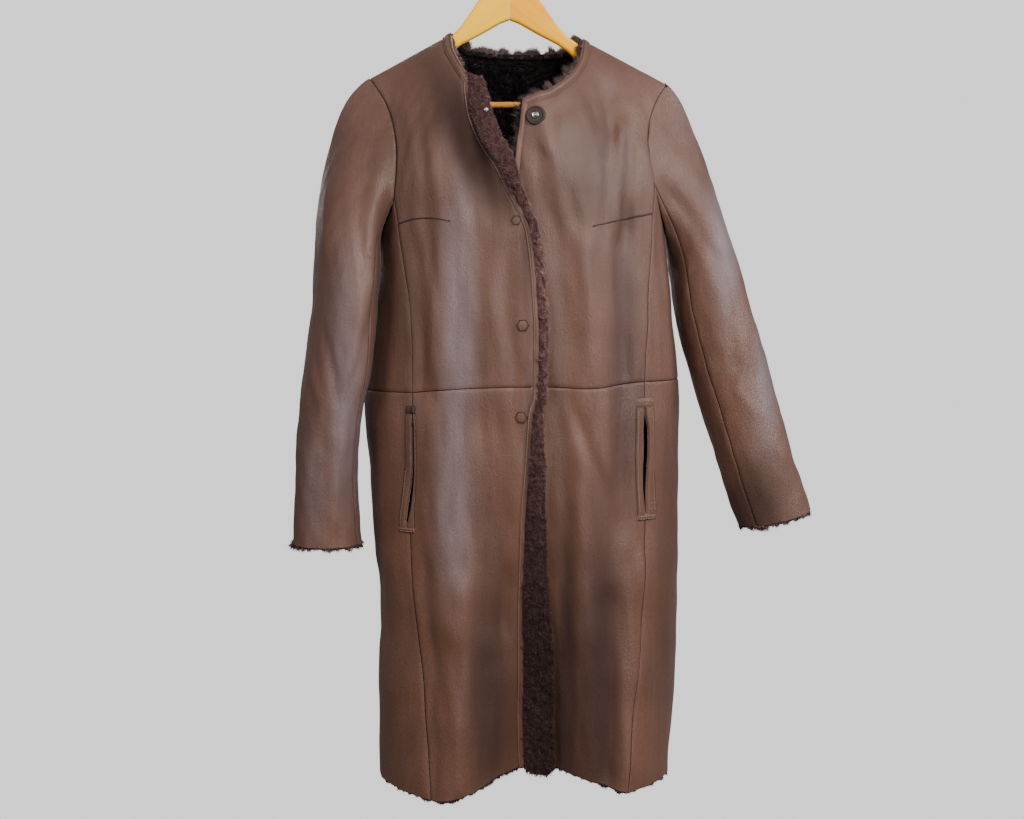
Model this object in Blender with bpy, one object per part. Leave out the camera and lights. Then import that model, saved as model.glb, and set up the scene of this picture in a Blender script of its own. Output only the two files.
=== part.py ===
"""A knee-length shearling coat hanging on a wooden hanger.

Metres, +Z up. The coat faces -Y. The origin is the inside top of the hanger's hook.
Right and left are the wearer's, so right is -X. One grid of points covers the whole body,
from the shoulders to the hem; each leather piece is a rectangle of that grid, with a wall.
"""
import math
from collections import namedtuple

import bmesh
import bpy
from mathutils import Vector

# Walls and gaps
SKIN = 0.005            # shearling: leather with its clipped fur
BINDING = 0.003         # leather turned over an edge
SEAM = 0.00025          # each piece stops this far short of its seam
SLIT = 0.0017           # half of a pocket's open slit
WELT = 0.0015           # leather laid on leather
LIFT = 0.0007           # clearance under what lies on a panel

# Cells of the grid
ARMHOLE_CELLS = 5       # down the armhole, from shoulder tip to princess seam
NECK_CELLS = 4          # down the front neckline
UPPER_CELLS = 11        # shoulder to waist
LOWER_CELLS = 10        # waist to hem
FRONT_CELLS = 7         # front edge to princess seam; the first is the edge band
SIDE_CELLS = 4
BACK_NECK_CELLS = 6
SLEEVE_CELLS = 11
CAP_CELLS = 4           # of the sleeve's cells, those of its cap

SHOULDER_CELLS = FRONT_CELLS - 1
BACK_CELLS = 2 * SHOULDER_CELLS + BACK_NECK_CELLS
ROWS = UPPER_CELLS + LOWER_CELLS

# Body: x of the right and left side, and how far front and back stand from the middle
Body = namedtuple("Body", "z right left front back")
BODY = (
    Body(-0.160, -0.190, 0.214, 0.112, 0.098),
    Body(-0.300, -0.190, 0.214, 0.114, 0.100),
    Body(-0.440, -0.174, 0.208, 0.118, 0.100),
    Body(-0.540, -0.182, 0.217, 0.120, 0.098),
    Body(-0.620, -0.192, 0.226, 0.120, 0.096),
    Body(-0.680, -0.196, 0.230, 0.121, 0.096),
    Body(-0.760, -0.190, 0.228, 0.123, 0.097),
    Body(-0.865, -0.184, 0.230, 0.126, 0.098),
    Body(-0.905, -0.177, 0.230, 0.128, 0.099),
    Body(-0.960, -0.176, 0.229, 0.129, 0.100),
    Body(-1.050, -0.179, 0.226, 0.132, 0.102),
    Body(-1.180, -0.179, 0.218, 0.137, 0.104),
)
ROUND = 2.3             # 2 is an ellipse, more is boxier
FRONT_SLOPE = 0.20      # height over which the shoulder slopes out to the full front
BACK_SLOPE = 0.16
SLOPE_POWER = 0.78

Point = namedtuple("Point", "x z")
SHOULDER = {            # neck point, shoulder tip
    "right": (Point(-0.0895, -0.183), Point(-0.185, -0.234)),
    "left": (Point(0.1073, -0.189), Point(0.2096, -0.242)),
}
SHOULDER_PEAK = -0.168  # where the two shoulder lines level out over the neck

NECK_SEAM = {
    "right": (Point(-0.0895, -0.183), Point(-0.0856, -0.203), Point(-0.0771, -0.219),
              Point(-0.0690, -0.234), Point(-0.0600, -0.247)),
    "left": (Point(0.1073, -0.189), Point(0.1013, -0.215), Point(0.0897, -0.237),
             Point(0.0729, -0.2545), Point(0.0527, -0.268), Point(0.0235, -0.278)),
}
NECK_EDGE = {
    "right": (Point(-0.0770, -0.1735), Point(-0.0735, -0.197), Point(-0.0665, -0.214),
              Point(-0.0580, -0.229), Point(-0.0515, -0.240)),
    "left": (Point(0.0975, -0.1815), Point(0.0925, -0.211), Point(0.0815, -0.231),
             Point(0.0670, -0.246), Point(0.0480, -0.2585), Point(0.0160, -0.2695)),
}
FRONT_EDGE = {          # the free edge of each front, neck to hem
    "right": (Point(-0.0515, -0.240), Point(-0.0481, -0.282), Point(-0.0414, -0.305),
              Point(-0.0289, -0.331), Point(-0.0132, -0.354), Point(-0.0028, -0.375),
              Point(0.0190, -0.417), Point(0.0270, -0.438), Point(0.0345, -0.499),
              Point(0.0382, -0.577), Point(0.0385, -0.645), Point(0.0315, -0.670),
              Point(0.0270, -0.736), Point(0.0214, -0.803), Point(0.0193, -0.910),
              Point(0.0190, -1.050), Point(0.0218, -1.190)),
    "left": (Point(0.0160, -0.2695), Point(0.0124, -0.297), Point(0.0095, -0.323),
             Point(0.0064, -0.349), Point(-0.0020, -0.440), Point(-0.0080, -0.640),
             Point(-0.0120, -0.900), Point(-0.0120, -1.190)),
}
BAND_WIDTH = 0.0075
BACK_BAND_WIDTH = 0.0090

ARMHOLE = {             # shoulder tip to the top of the princess seam
    "right": (Point(-0.185, -0.234), Point(-0.1625, -0.268), Point(-0.1510, -0.300),
              Point(-0.1460, -0.329), Point(-0.1455, -0.356), Point(-0.1480, -0.395)),
    "left": (Point(0.2096, -0.242), Point(0.1969, -0.2597), Point(0.1864, -0.2807),
             Point(0.1813, -0.3077), Point(0.1801, -0.3314), Point(0.1863, -0.374)),
}
PRINCESS = {            # the seam from the armhole through the pocket to the hem
    "right": (Point(-0.1480, -0.395), Point(-0.1424, -0.434), Point(-0.1368, -0.473),
              Point(-0.1294, -0.524), Point(-0.1250, -0.591), Point(-0.1250, -0.645),
              Point(-0.1248, -0.733), Point(-0.1290, -0.825), Point(-0.1280, -0.880),
              Point(-0.1210, -0.950), Point(-0.1120, -1.043), Point(-0.1010, -1.190)),
    "left": (Point(0.1863, -0.374), Point(0.1846, -0.420), Point(0.1818, -0.478),
             Point(0.1786, -0.546), Point(0.1758, -0.620), Point(0.1758, -0.733),
             Point(0.1785, -0.813), Point(0.1748, -0.882), Point(0.1687, -0.974),
             Point(0.1610, -1.049), Point(0.1530, -1.190)),
}
UNDERARM_DROP = {"right": 0.045, "left": 0.062}
BACK_SEAM_IN = 0.030    # the back's side seam lies this far nearer the side than the front's

WAIST = (Point(-0.200, -0.6515), Point(-0.130, -0.6450), Point(-0.042, -0.6370),
         Point(0.034, -0.6355), Point(0.100, -0.6380), Point(0.176, -0.6310),
         Point(0.232, -0.6345))
HEM = (Point(-0.180, -1.1660), Point(-0.100, -1.1720), Point(-0.045, -1.1640),
       Point(0.030, -1.1480), Point(0.100, -1.1520), Point(0.155, -1.1630),
       Point(0.220, -1.1660))
BACK_HEM = -1.166
BACK_NECK = (Point(-0.0895, -0.183), Point(-0.0850, -0.1935), Point(-0.060, -0.2025),
             Point(0.010, -0.2080), Point(0.078, -0.2055), Point(0.1035, -0.1985),
             Point(0.1073, -0.189))
BACK_NECK_MIDDLE = 0.010

# Folds: ridges rise outward, troughs fall inward, growing from their top to their foot
Fold = namedtuple("Fold", "x_top z_top x_foot z_foot rise_top rise_foot width")
FRONT_FOLDS = (
    Fold(0.030, -0.740, 0.030, -1.180, 0.000, -0.070, 0.055),   # fronts fall in at the edge
    Fold(-0.070, -0.740, -0.092, -1.180, 0.000, 0.020, 0.036),  # right lobe
    Fold(0.140, -0.740, 0.155, -1.180, 0.000, 0.022, 0.034),    # left lobe
    Fold(-0.035, -0.330, -0.040, -0.640, 0.003, 0.005, 0.026),
    Fold(-0.105, -0.420, -0.108, -0.640, -0.004, -0.007, 0.018),
    Fold(0.128, -0.270, 0.146, -0.420, -0.010, -0.004, 0.016),
    Fold(0.150, -0.440, 0.140, -0.640, -0.006, -0.004, 0.018),
)
BACK_FOLDS = (
    Fold(0.012, -0.300, 0.012, -1.180, 0.000, 0.020, 0.060),
    Fold(-0.075, -0.640, -0.090, -1.180, 0.000, -0.018, 0.030),
    Fold(0.100, -0.640, 0.115, -1.180, 0.000, -0.018, 0.030),
)
FOLD_FADE = 0.05        # height over which a fold dies away past its ends

# Where the right front laps over the left
LAP_DEPTH = 0.0080
LAP_DEPTH_HEM = 0.0135  # deeper where the fronts fall in steeply
LAP_FADE = 0.030
LAP_BEYOND = 0.020      # the left front is level again this far past the fur strip

Fringe = namedtuple("Fringe", "z width")
RIGHT_FRINGE = (        # fur rolled out along the right front's edge
    Fringe(-0.240, 0.018), Fringe(-0.285, 0.025), Fringe(-0.335, 0.026),
    Fringe(-0.375, 0.016), Fringe(-0.420, 0.0105), Fringe(-0.576, 0.0105),
    Fringe(-0.640, 0.0085), Fringe(-0.720, 0.017), Fringe(-0.800, 0.0245),
    Fringe(-0.905, 0.032), Fringe(-1.020, 0.0395), Fringe(-1.190, 0.0405),
)
FRINGE_THICK = 0.0065
FRINGE_OUT = 0.0015
FRINGE_DROP = 0.010     # it hangs this far below the hem
FRINGE_CELLS = 3
LEFT_FRINGE_REACH = 0.010
LEFT_FRINGE_END = 8     # last grid row of the fur seen on the left front's edge
NECK_FUR_REACH = 0.007
NECK_FUR_THICK = 0.003
HEM_FUR_REACH = 0.005
CUFF_FUR_REACH = 0.005

# Sleeves: sections square to the sleeve. lean tips a section in the front view, and
# twist turns its long way, so that it lies against the body in front or behind.
Section = namedtuple("Section", "x y z half_width half_depth lean twist")
SLEEVE = {
    "right": (
        Section(-0.2130, -0.044, -0.470, 0.0470, 0.059, 3, 34),
        Section(-0.2160, -0.052, -0.530, 0.0465, 0.058, 5, 36),
        Section(-0.2235, -0.056, -0.600, 0.0470, 0.056, 7, 32),
        Section(-0.2345, -0.058, -0.668, 0.0430, 0.054, 6, 20),
        Section(-0.2407, -0.060, -0.738, 0.0412, 0.051, 3, 8),
        Section(-0.2418, -0.062, -0.792, 0.0425, 0.048, 1, 4),
        Section(-0.2410, -0.064, -0.8460, 0.0455, 0.044, 0, 0),
    ),
    "left": (
        Section(0.2595, 0.012, -0.4770, 0.0440, 0.060, 17, 16),
        Section(0.2710, 0.006, -0.5320, 0.0490, 0.059, 19, 14),
        Section(0.2880, -0.002, -0.5960, 0.0510, 0.057, 20, 10),
        Section(0.3025, -0.010, -0.6450, 0.0510, 0.055, 20, 6),
        Section(0.3200, -0.020, -0.7050, 0.0495, 0.052, 19, 4),
        Section(0.3345, -0.030, -0.7560, 0.0492, 0.048, 17, 2),
        Section(0.3545, -0.040, -0.8160, 0.0492, 0.043, 13, 0),
    ),
}
CAP_TOP = {"right": (0.170, -0.090), "left": (0.095, -0.090)}  # how the cap leaves the shoulder
CAP_UNDER = {"right": (0.022, -0.042), "left": (0.010, -0.045)}
# Of each sleeve's two seams, from its outer side round the front
FRONT_SEAM_ANGLE = {"right": 158, "left": 128}
BACK_SEAM_ANGLE = {"right": 250, "left": 228}

# Pockets: set in the seam below the waist
Pocket = namedtuple("Pocket", "top bottom")
POCKET = {"right": Pocket(-0.672, -0.820), "left": Pocket(-0.664, -0.804)}
WELT_WIDTH = 0.0105
TAB_WIDTH = 0.0125      # to each side of the seam
TAB_HEIGHT = 0.008
POCKET_CELLS = 6

# Fastenings
Mark = namedtuple("Mark", "x z")
NECK_SNAP = Mark(0.0335, -0.2935)
NECK_SNAP_RADIUS = 0.0125
NECK_SNAP_HOLE = 0.0052
NECK_SNAP_THICK = 0.0030
NECK_SNAP_CENTRE_RADIUS = 0.0046
SNAP_MARKS = (Mark(0.0085, -0.4250), Mark(0.0170, -0.5570), Mark(0.0150, -0.6740))
SNAP_MARK_RADIUS = 0.0072
SNAP_MARK_THICK = 0.0010
SOCKET = Mark(-0.0290, -0.2860)
SOCKET_RADIUS = 0.0040
SOCKET_THICK = 0.0016

# Hanger
Arm = namedtuple("Arm", "x top bottom")
ARM_ROOT = (            # the part above the collar; further out it follows the shoulder
    Arm(0.00015, -0.0860, -0.1590), Arm(0.0120, -0.0930, -0.1635),
    Arm(0.0400, -0.1330, -0.1790), Arm(0.0620, -0.1645, -0.1900),
    Arm(0.0770, -0.1808, -0.2000),
)
ARM_OUT = {"right": (0.087, 0.110, 0.130, 0.148), "left": (0.094, 0.113, 0.130, 0.148)}
ARM_HEIGHT = 0.024
ARM_TIP = 0.160
ARM_FOOT = -0.282       # lowest edge of the arm's end, which takes the bar
ARM_FOOT_IN = 0.138
ARM_THICK = 0.012
ARM_BEVEL = 0.0045
ARM_UNDER = {"right": 0.0102, "left": 0.0102}   # arm's top below the shoulder line
BAR_HEIGHT = -0.2691
BAR_RADIUS = 0.004
HOOK_INSIDE = 0.020
HOOK_WIRE = 0.0018
HOOK_END_ANGLE = 205

SIGN = {"right": -1, "left": 1}


# ---- reading the tables ----
def blend(low, high, share):
    return low + (high - low) * share


def smoothstep(value):
    value = min(max(value, 0.0), 1.0)
    return value * value * (3 - 2 * value)


def read(rows, key, column, value):
    """A smooth value of one column, at a place in the key column."""
    keys = [getattr(row, key) for row in rows]
    values = [getattr(row, column) for row in rows]
    if keys[0] > keys[-1]:
        keys = [-k for k in keys]
        value = -value
    value = min(max(value, keys[0]), keys[-1])
    last = len(keys) - 2
    i = next((n for n in range(last + 1) if value <= keys[n + 1]), last)
    steps = [(values[n + 1] - values[n]) / (keys[n + 1] - keys[n]) for n in range(last + 1)]

    def slope(n):
        before = steps[max(n - 1, 0)]
        after = steps[min(n, last)]
        if before * after <= 0:
            return 0.0
        return 2 * before * after / (before + after)

    width = keys[i + 1] - keys[i]
    t = (value - keys[i]) / width
    start = (2 * t ** 3 - 3 * t ** 2 + 1) * values[i] + (t ** 3 - 2 * t ** 2 + t) * width * slope(i)
    end = (3 * t ** 2 - 2 * t ** 3) * values[i + 1] + (t ** 3 - t ** 2) * width * slope(i + 1)
    return start + end


def curve_through(points, cells):
    """Evenly spaced points on a smooth curve through a table's x and z."""
    dense = []
    for n in range(len(points) - 1):
        before = points[max(n - 1, 0)]
        after = points[min(n + 2, len(points) - 1)]
        for step in range(12):
            t = step / 12
            pair = []
            for axis in (0, 1):
                a, b, c, d = before[axis], points[n][axis], points[n + 1][axis], after[axis]
                pair.append(b + 0.5 * t * (c - a + t * (2 * a - 5 * b + 4 * c - d
                                                        + t * (3 * (b - c) + d - a))))
            dense.append(Vector(pair))
    dense.append(Vector(points[-1]))
    lengths = [0.0]
    for a, b in zip(dense, dense[1:]):
        lengths.append(lengths[-1] + (b - a).length)
    result = []
    n = 0
    for cell in range(cells + 1):
        goal = lengths[-1] * cell / cells
        while n < len(dense) - 2 and lengths[n + 1] < goal:
            n += 1
        share = (goal - lengths[n]) / (lengths[n + 1] - lengths[n])
        result.append(dense[n].lerp(dense[n + 1], min(max(share, 0.0), 1.0)))
    return result


# ---- the form of the body ----
def shoulder_height(x):
    """Height of the shoulder ridge over a place across the coat."""
    heights = []
    for side in ("right", "left"):
        neck, tip = SHOULDER[side]
        heights.append(neck.z + (x - neck.x) * (tip.z - neck.z) / (tip.x - neck.x))
    height = min(heights)
    return min(height, SHOULDER_PEAK)


def slope_share(x, z, reach):
    drop = shoulder_height(x) - z
    if drop <= 0:
        return 0.0
    if drop >= reach:
        return 1.0
    return math.sin(math.pi / 2 * drop / reach) ** SLOPE_POWER


def fold_rise(folds, x, z):
    total = 0.0
    for fold in folds:
        share = (fold.z_top - z) / (fold.z_top - fold.z_foot)
        fade = smoothstep((fold.z_top + FOLD_FADE - z) / FOLD_FADE)
        if fold.z_foot > -1.1:
            fade *= smoothstep((z - fold.z_foot + FOLD_FADE) / FOLD_FADE)
        share = min(max(share, 0.0), 1.0)
        middle = blend(fold.x_top, fold.x_foot, share)
        rise = blend(fold.rise_top, fold.rise_foot, share ** 1.4)
        total += rise * fade * math.exp(-((x - middle) / fold.width) ** 2)
    return total


def plan_share(x, z):
    right = read(BODY, "z", "right", z)
    left = read(BODY, "z", "left", z)
    middle = (right + left) / 2
    across = min(abs(x - middle) / ((left - right) / 2), 0.9995)
    return (1 - across ** ROUND) ** (1 / ROUND)


def front_y(x, z):
    depth = read(BODY, "z", "front", z) * plan_share(x, z) * slope_share(x, z, FRONT_SLOPE)
    return -depth - fold_rise(FRONT_FOLDS, x, z) * smoothstep(plan_share(x, z) * 2.2)


def back_y(x, z):
    depth = read(BODY, "z", "back", z) * plan_share(x, z) * slope_share(x, z, BACK_SLOPE)
    return depth + fold_rise(BACK_FOLDS, x, z)


def fringe_edge(z):
    """Right-hand limit, in x, of the fur rolled out along the right front."""
    return read(FRONT_EDGE["right"], "z", "x", z) + read(RIGHT_FRINGE, "z", "width", z)


def lapped_y(x, z):
    """The left front, pushed back where the right front lies on it."""
    level = fringe_edge(z) + LAP_BEYOND + LAP_FADE
    depth = blend(LAP_DEPTH, LAP_DEPTH_HEM, smoothstep((-0.75 - z) / 0.35))
    return front_y(x, z) + depth * smoothstep((level - x) / LAP_FADE)


def ring_point(side, angle, z):
    """A place on the plain ring of the body; angle 0 is centre front, 180 centre back."""
    right = read(BODY, "z", "right", z)
    left = read(BODY, "z", "left", z)
    depth = read(BODY, "z", "front" if angle < 90 else "back", z)
    turn = math.radians(angle)
    across = abs(math.sin(turn)) ** (2 / ROUND)
    ahead = abs(math.cos(turn)) ** (2 / ROUND)
    x = (right + left) / 2 + SIGN[side] * (left - right) / 2 * across
    return Vector((x, -depth * ahead if angle < 90 else depth * ahead, z))


def ring_angle(x, z, behind):
    """The ring angle at which the plain ring passes an x."""
    right = read(BODY, "z", "right", z)
    left = read(BODY, "z", "left", z)
    across = min(abs(x - (right + left) / 2) / ((left - right) / 2), 0.9995)
    angle = math.degrees(math.asin(across ** (ROUND / 2)))
    return 180 - angle if behind else angle


# ---- the grid of the body ----
def coons(left, right, top, bottom):
    """Points in x and z over a patch whose four sides are lists of points."""
    rows = len(left) - 1
    cols = len(top) - 1
    patch = []
    for i in range(rows + 1):
        v = i / rows
        line = []
        for j in range(cols + 1):
            u = j / cols
            sides = left[i].lerp(right[i], u) + top[j].lerp(bottom[j], v)
            corners = top[0].lerp(top[-1], u).lerp(bottom[0].lerp(bottom[-1], u), v)
            line.append(sides - corners)
        patch.append(line)
    return patch


def waist_point(x):
    return Vector((x, read(WAIST, "x", "z", x)))


def seam_rows(table, top_z, foot_z, cells):
    """Points down a seam at even heights."""
    heights = [blend(top_z, foot_z, n / cells) for n in range(cells + 1)]
    return [Vector((read(table, "z", "x", z), z)) for z in heights]


def front_grid(side):
    """Rows from shoulder to hem, columns from the free edge to the princess seam."""
    neck = curve_through(NECK_SEAM[side], NECK_CELLS)
    neck_edge = curve_through(NECK_EDGE[side], NECK_CELLS)
    inward = SIGN[side] * BAND_WIDTH
    edge_x = read(FRONT_EDGE[side], "z", "x", -0.64)
    princess_x = read(PRINCESS[side], "z", "x", -0.64)
    edge_waist = waist_point(edge_x + inward)
    side_waist = waist_point(princess_x)
    edge_down = seam_rows(FRONT_EDGE[side], neck[-1].y, edge_waist.y, UPPER_CELLS - NECK_CELLS)
    seam_down = [neck[-1]] + [p + Vector((inward, 0)) for p in edge_down[1:]]
    princess = seam_rows(PRINCESS[side], ARMHOLE[side][-1].z, side_waist.y,
                         UPPER_CELLS - ARMHOLE_CELLS)
    left = neck[:-1] + seam_down
    right = curve_through(ARMHOLE[side], ARMHOLE_CELLS)[:-1] + princess
    ends = [Vector(p) for p in SHOULDER[side]]
    cols = FRONT_CELLS - 1
    top = [ends[0].lerp(ends[1], j / cols) for j in range(cols + 1)]
    waist = [waist_point(blend(left[-1].x, right[-1].x, j / cols)) for j in range(cols + 1)]
    upper = coons(left, right, top, waist)
    hem_edge = Vector((edge_x, read(HEM, "x", "z", edge_x)))
    low_edge = seam_rows(FRONT_EDGE[side], edge_waist.y, hem_edge.y, LOWER_CELLS)
    hem_side_x = read(PRINCESS[side], "z", "x", -1.165)
    low_side = seam_rows(PRINCESS[side], side_waist.y, read(HEM, "x", "z", hem_side_x), LOWER_CELLS)
    low_seam = [p + Vector((inward, 0)) for p in low_edge]
    hem = []
    for j in range(cols + 1):
        x = blend(low_seam[-1].x, low_side[-1].x, j / cols)
        hem.append(Vector((x, read(HEM, "x", "z", x))))
    low_seam[-1] = hem[0]
    low_side[-1] = hem[-1]
    low_seam[0] = waist[0]
    low_side[0] = waist[-1]
    lower = coons(low_seam, low_side, waist, hem)
    edges = neck_edge[:-1] + [neck_edge[-1]] + edge_down[1:] + low_edge[1:]
    surface = front_y if side == "right" else lapped_y
    grid = []
    for edge, line in zip(edges, upper + lower[1:]):
        grid.append([Vector((p.x, surface(p.x, p.y), p.y)) for p in [edge] + line])
    return grid


def back_grid():
    """Rows from shoulder to hem, columns from the right side seam to the left one."""
    top = []
    for side in ("right", "left"):
        neck, tip = SHOULDER[side]
        steps = [Vector(neck).lerp(Vector(tip), j / SHOULDER_CELLS) for j in range(SHOULDER_CELLS + 1)]
        if side == "right":
            top += steps[::-1] + curve_through(BACK_NECK, BACK_NECK_CELLS)[1:-1]
        else:
            top += steps
    sides = {}
    for side in ("right", "left"):
        armhole = curve_through(ARMHOLE[side], ARMHOLE_CELLS)
        shift = SIGN[side] * BACK_SEAM_IN
        down = []
        for n, p in enumerate(armhole):
            down.append(p + Vector((shift * (n / ARMHOLE_CELLS) ** 2 * 0.3, 0)))
        start_x = down[-1].x
        waist_x = read(PRINCESS[side], "z", "x", -0.64) + shift
        waist_z = waist_point(waist_x).y
        for n in range(1, UPPER_CELLS - ARMHOLE_CELLS + 1):
            share = n / (UPPER_CELLS - ARMHOLE_CELLS)
            down.append(Vector((blend(start_x, waist_x, share),
                                blend(armhole[-1].y, waist_z, share))))
        for n in range(1, LOWER_CELLS + 1):
            share = n / LOWER_CELLS
            down.append(Vector((waist_x - shift * 0.3 * share, blend(waist_z, BACK_HEM, share))))
        sides[side] = down
    count = len(top) - 1

    def across(row):
        ends = sides["right"][row], sides["left"][row]
        return [ends[0].lerp(ends[1], j / count) for j in range(count + 1)]

    waist = [Vector((p.x, waist_point(p.x).y)) for p in across(UPPER_CELLS)]
    hem = across(ROWS)
    upper = coons(sides["right"][:UPPER_CELLS + 1], sides["left"][:UPPER_CELLS + 1], top, waist)
    lower = coons(sides["right"][UPPER_CELLS:], sides["left"][UPPER_CELLS:], waist, hem)
    rows = upper + lower[1:]
    return [[Vector((p.x, back_y(p.x, p.y), p.y)) for p in line] for line in rows]


def side_grid(side, front_seam, back_seam):
    """Rows from the armhole's foot to the hem, columns from the front's seam to the back's."""
    rows = []
    for i in range(ARMHOLE_CELLS, ROWS + 1):
        front = front_seam[i]
        back = back_seam[i]
        start = ring_angle(front.x, front.z, False)
        stop = ring_angle(back.x, back.z, True)
        down = (i - ARMHOLE_CELLS) / (UPPER_CELLS - ARMHOLE_CELLS)
        drop = UNDERARM_DROP[side] * (1 - down) if down < 1 else 0.0
        line = []
        for j in range(SIDE_CELLS + 1):
            f = j / SIDE_CELLS
            z = blend(front.z, back.z, f) - drop * math.sin(math.pi * f) ** 0.8
            point = ring_point(side, blend(start, stop, f), z)
            miss_front = front - ring_point(side, start, front.z)
            miss_back = back - ring_point(side, stop, back.z)
            point += miss_front * (1 - f) ** 2 + miss_back * f ** 2
            line.append(point)
        line[0] = front
        line[-1] = back
        rows.append(line)
    return rows


def body_grid():
    """The whole body: right front, right side, back, left side, left front."""
    right = front_grid("right")
    left = front_grid("left")
    back = back_grid()
    side_right = side_grid("right", [line[-1] for line in right], [line[0] for line in back])
    side_left = side_grid("left", [line[-1] for line in left], [line[-1] for line in back])
    grid = []
    for i in range(ROWS + 1):
        if i < ARMHOLE_CELLS:
            between = [None] * (SIDE_CELLS - 1)
            near = far = between
        else:
            near = side_right[i - ARMHOLE_CELLS][1:-1]
            far = side_left[i - ARMHOLE_CELLS][-2:0:-1]
        grid.append(right[i] + near + back[i] + far + left[i][::-1])
    return grid


COL_RIGHT = FRONT_CELLS                     # right princess seam
COL_BACK = COL_RIGHT + SIDE_CELLS           # right back seam
COL_BACK_END = COL_BACK + BACK_CELLS        # left back seam
COL_LEFT = COL_BACK_END + SIDE_CELLS        # left princess seam
COL_END = COL_LEFT + FRONT_CELLS            # left front's free edge


def step(grid, i, j, di, dj):
    """Difference along the grid, over both neighbours where both are there."""
    here = grid[i][j]
    after = grid[i + di][j + dj] if 0 <= i + di < len(grid) and 0 <= j + dj < len(grid[0]) else None
    before = grid[i - di][j - dj] if i >= di and j >= dj else None
    return (after or here) - (before or here)


def grid_normals(grid):
    """Outward directions; the grid runs clockwise seen from above, rows downward."""
    result = []
    for i, line in enumerate(grid):
        normals = []
        for j, point in enumerate(line):
            if point is None:
                normals.append(None)
                continue
            across = step(grid, i, j, 0, 1)
            down = step(grid, i, j, 1, 0)
            normals.append(across.cross(down).normalized())
        result.append(normals)
    return result


def shoulder_normals(normals):
    """Front and back meet on the shoulder, so both take the shoulder line's own upright."""
    columns = {"right": (range(0, COL_RIGHT + 1), range(COL_BACK, COL_BACK + SHOULDER_CELLS + 1)),
               "left": (range(COL_LEFT, COL_END + 1),
                        range(COL_BACK_END - SHOULDER_CELLS, COL_BACK_END + 1))}
    for side, spans in columns.items():
        neck, tip = SHOULDER[side]
        along = Vector((tip.x - neck.x, 0, tip.z - neck.z))
        up = Vector((-along.z, 0, along.x)).normalized() * SIGN[side]
        for span in spans:
            for j in span:
                normals[0][j] = up


def armhole_loop(side):
    """Grid places round an armhole: shoulder tip, down the front, under, up the back."""
    front = COL_RIGHT if side == "right" else COL_LEFT
    back = COL_BACK if side == "right" else COL_BACK_END
    turn = 1 if side == "right" else -1
    loop = [(i, front) for i in range(ARMHOLE_CELLS + 1)]
    loop += [(ARMHOLE_CELLS, front + turn * j) for j in range(1, SIDE_CELLS)]
    loop += [(i, back) for i in range(ARMHOLE_CELLS, -1, -1)]
    return loop


def armhole_normals(grid, normals, side):
    """Body and sleeve share one mitre round the armhole."""
    loop = armhole_loop(side)
    top = grid[loop[0][0]][loop[0][1]].z
    foot = min(grid[i][j].z for i, j in loop)
    for i, j in loop:
        point = grid[i][j]
        height = (point.z - foot) / (top - foot)
        outward = Vector((SIGN[side] * 0.055 * height, point.y, point.z - (top * 0.45 + foot * 0.55)))
        normals[i][j] = outward.normalized()
    normals[0][loop[-1][1]] = normals[0][loop[0][1]]


# ---- making pieces ----
def colour(name, rgb, roughness, metallic=0.0):
    material = bpy.data.materials.new(name)
    material.use_nodes = True
    surface = material.node_tree.nodes["Principled BSDF"]
    surface.inputs["Base Color"].default_value = (*rgb, 1.0)
    surface.inputs["Roughness"].default_value = roughness
    surface.inputs["Metallic"].default_value = metallic
    return material


def finish(name, mesh, material):
    mesh.materials.append(material)
    mesh.shade_smooth()
    mesh.set_sharp_from_angle(angle=math.radians(40))
    piece = bpy.data.objects.new(name, mesh)
    coat.objects.link(piece)
    return piece


def wall(name, outer, inward, material, closed=False):
    """A sheet of grid points, given thickness by one inward step for each point."""
    rows = len(outer)
    cols = len(outer[0])
    bm = bmesh.new()
    bmesh.ops.create_grid(bm, x_segments=cols - 1, y_segments=rows - 1, size=1)
    depth = bm.verts.layers.float_vector.new("inward")
    bm.verts.ensure_lookup_table()
    for n, vert in enumerate(bm.verts):
        i, j = divmod(n, cols)
        vert.co = outer[i][j]
        vert[depth] = inward[i][j]
    if closed:
        bmesh.ops.remove_doubles(bm, verts=bm.verts, dist=1e-6)
    result = bmesh.ops.extrude_face_region(bm, geom=bm.faces[:])
    for item in result["geom"]:
        if isinstance(item, bmesh.types.BMVert):
            item.co += item[depth]
    bmesh.ops.triangulate(bm, faces=bm.faces[:])
    bmesh.ops.recalc_face_normals(bm, faces=bm.faces[:])
    mesh = bpy.data.meshes.new(name)
    bm.to_mesh(mesh)
    bm.free()
    return finish(name, mesh, material)


def trimmed(points, margins):
    """Pull the rim of a sheet in by a margin. margins: top, bottom, first, last column,
    each a number or a list with one number for each point along it."""
    rows = len(points)
    cols = len(points[0])

    def margin(name, n):
        value = margins.get(name, SEAM)
        return value[n] if isinstance(value, list) else value

    result = [list(line) for line in points]
    for i in range(rows):
        for j in range(cols):
            move = Vector((0, 0, 0))
            if i == 0:
                move += (points[1][j] - points[0][j]).normalized() * margin("top", j)
            if i == rows - 1:
                move += (points[-2][j] - points[-1][j]).normalized() * margin("bottom", j)
            if j == 0:
                move += (points[i][1] - points[i][0]).normalized() * margin("first", i)
            if j == cols - 1:
                move += (points[i][-2] - points[i][-1]).normalized() * margin("last", i)
            result[i][j] = points[i][j] + move
    return result


def piece_of(name, grid, normals, rows, cols, thickness, material, **margins):
    """One leather piece: a rectangle of the body's grid, trimmed to its seams."""
    spots = [[grid[i][j] for j in range(cols[0], cols[1] + 1)] for i in range(rows[0], rows[1] + 1)]
    inward = [[normals[i][j] * -thickness for j in range(cols[0], cols[1] + 1)]
              for i in range(rows[0], rows[1] + 1)]
    return wall(name, trimmed(spots, margins), inward, material)


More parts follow.
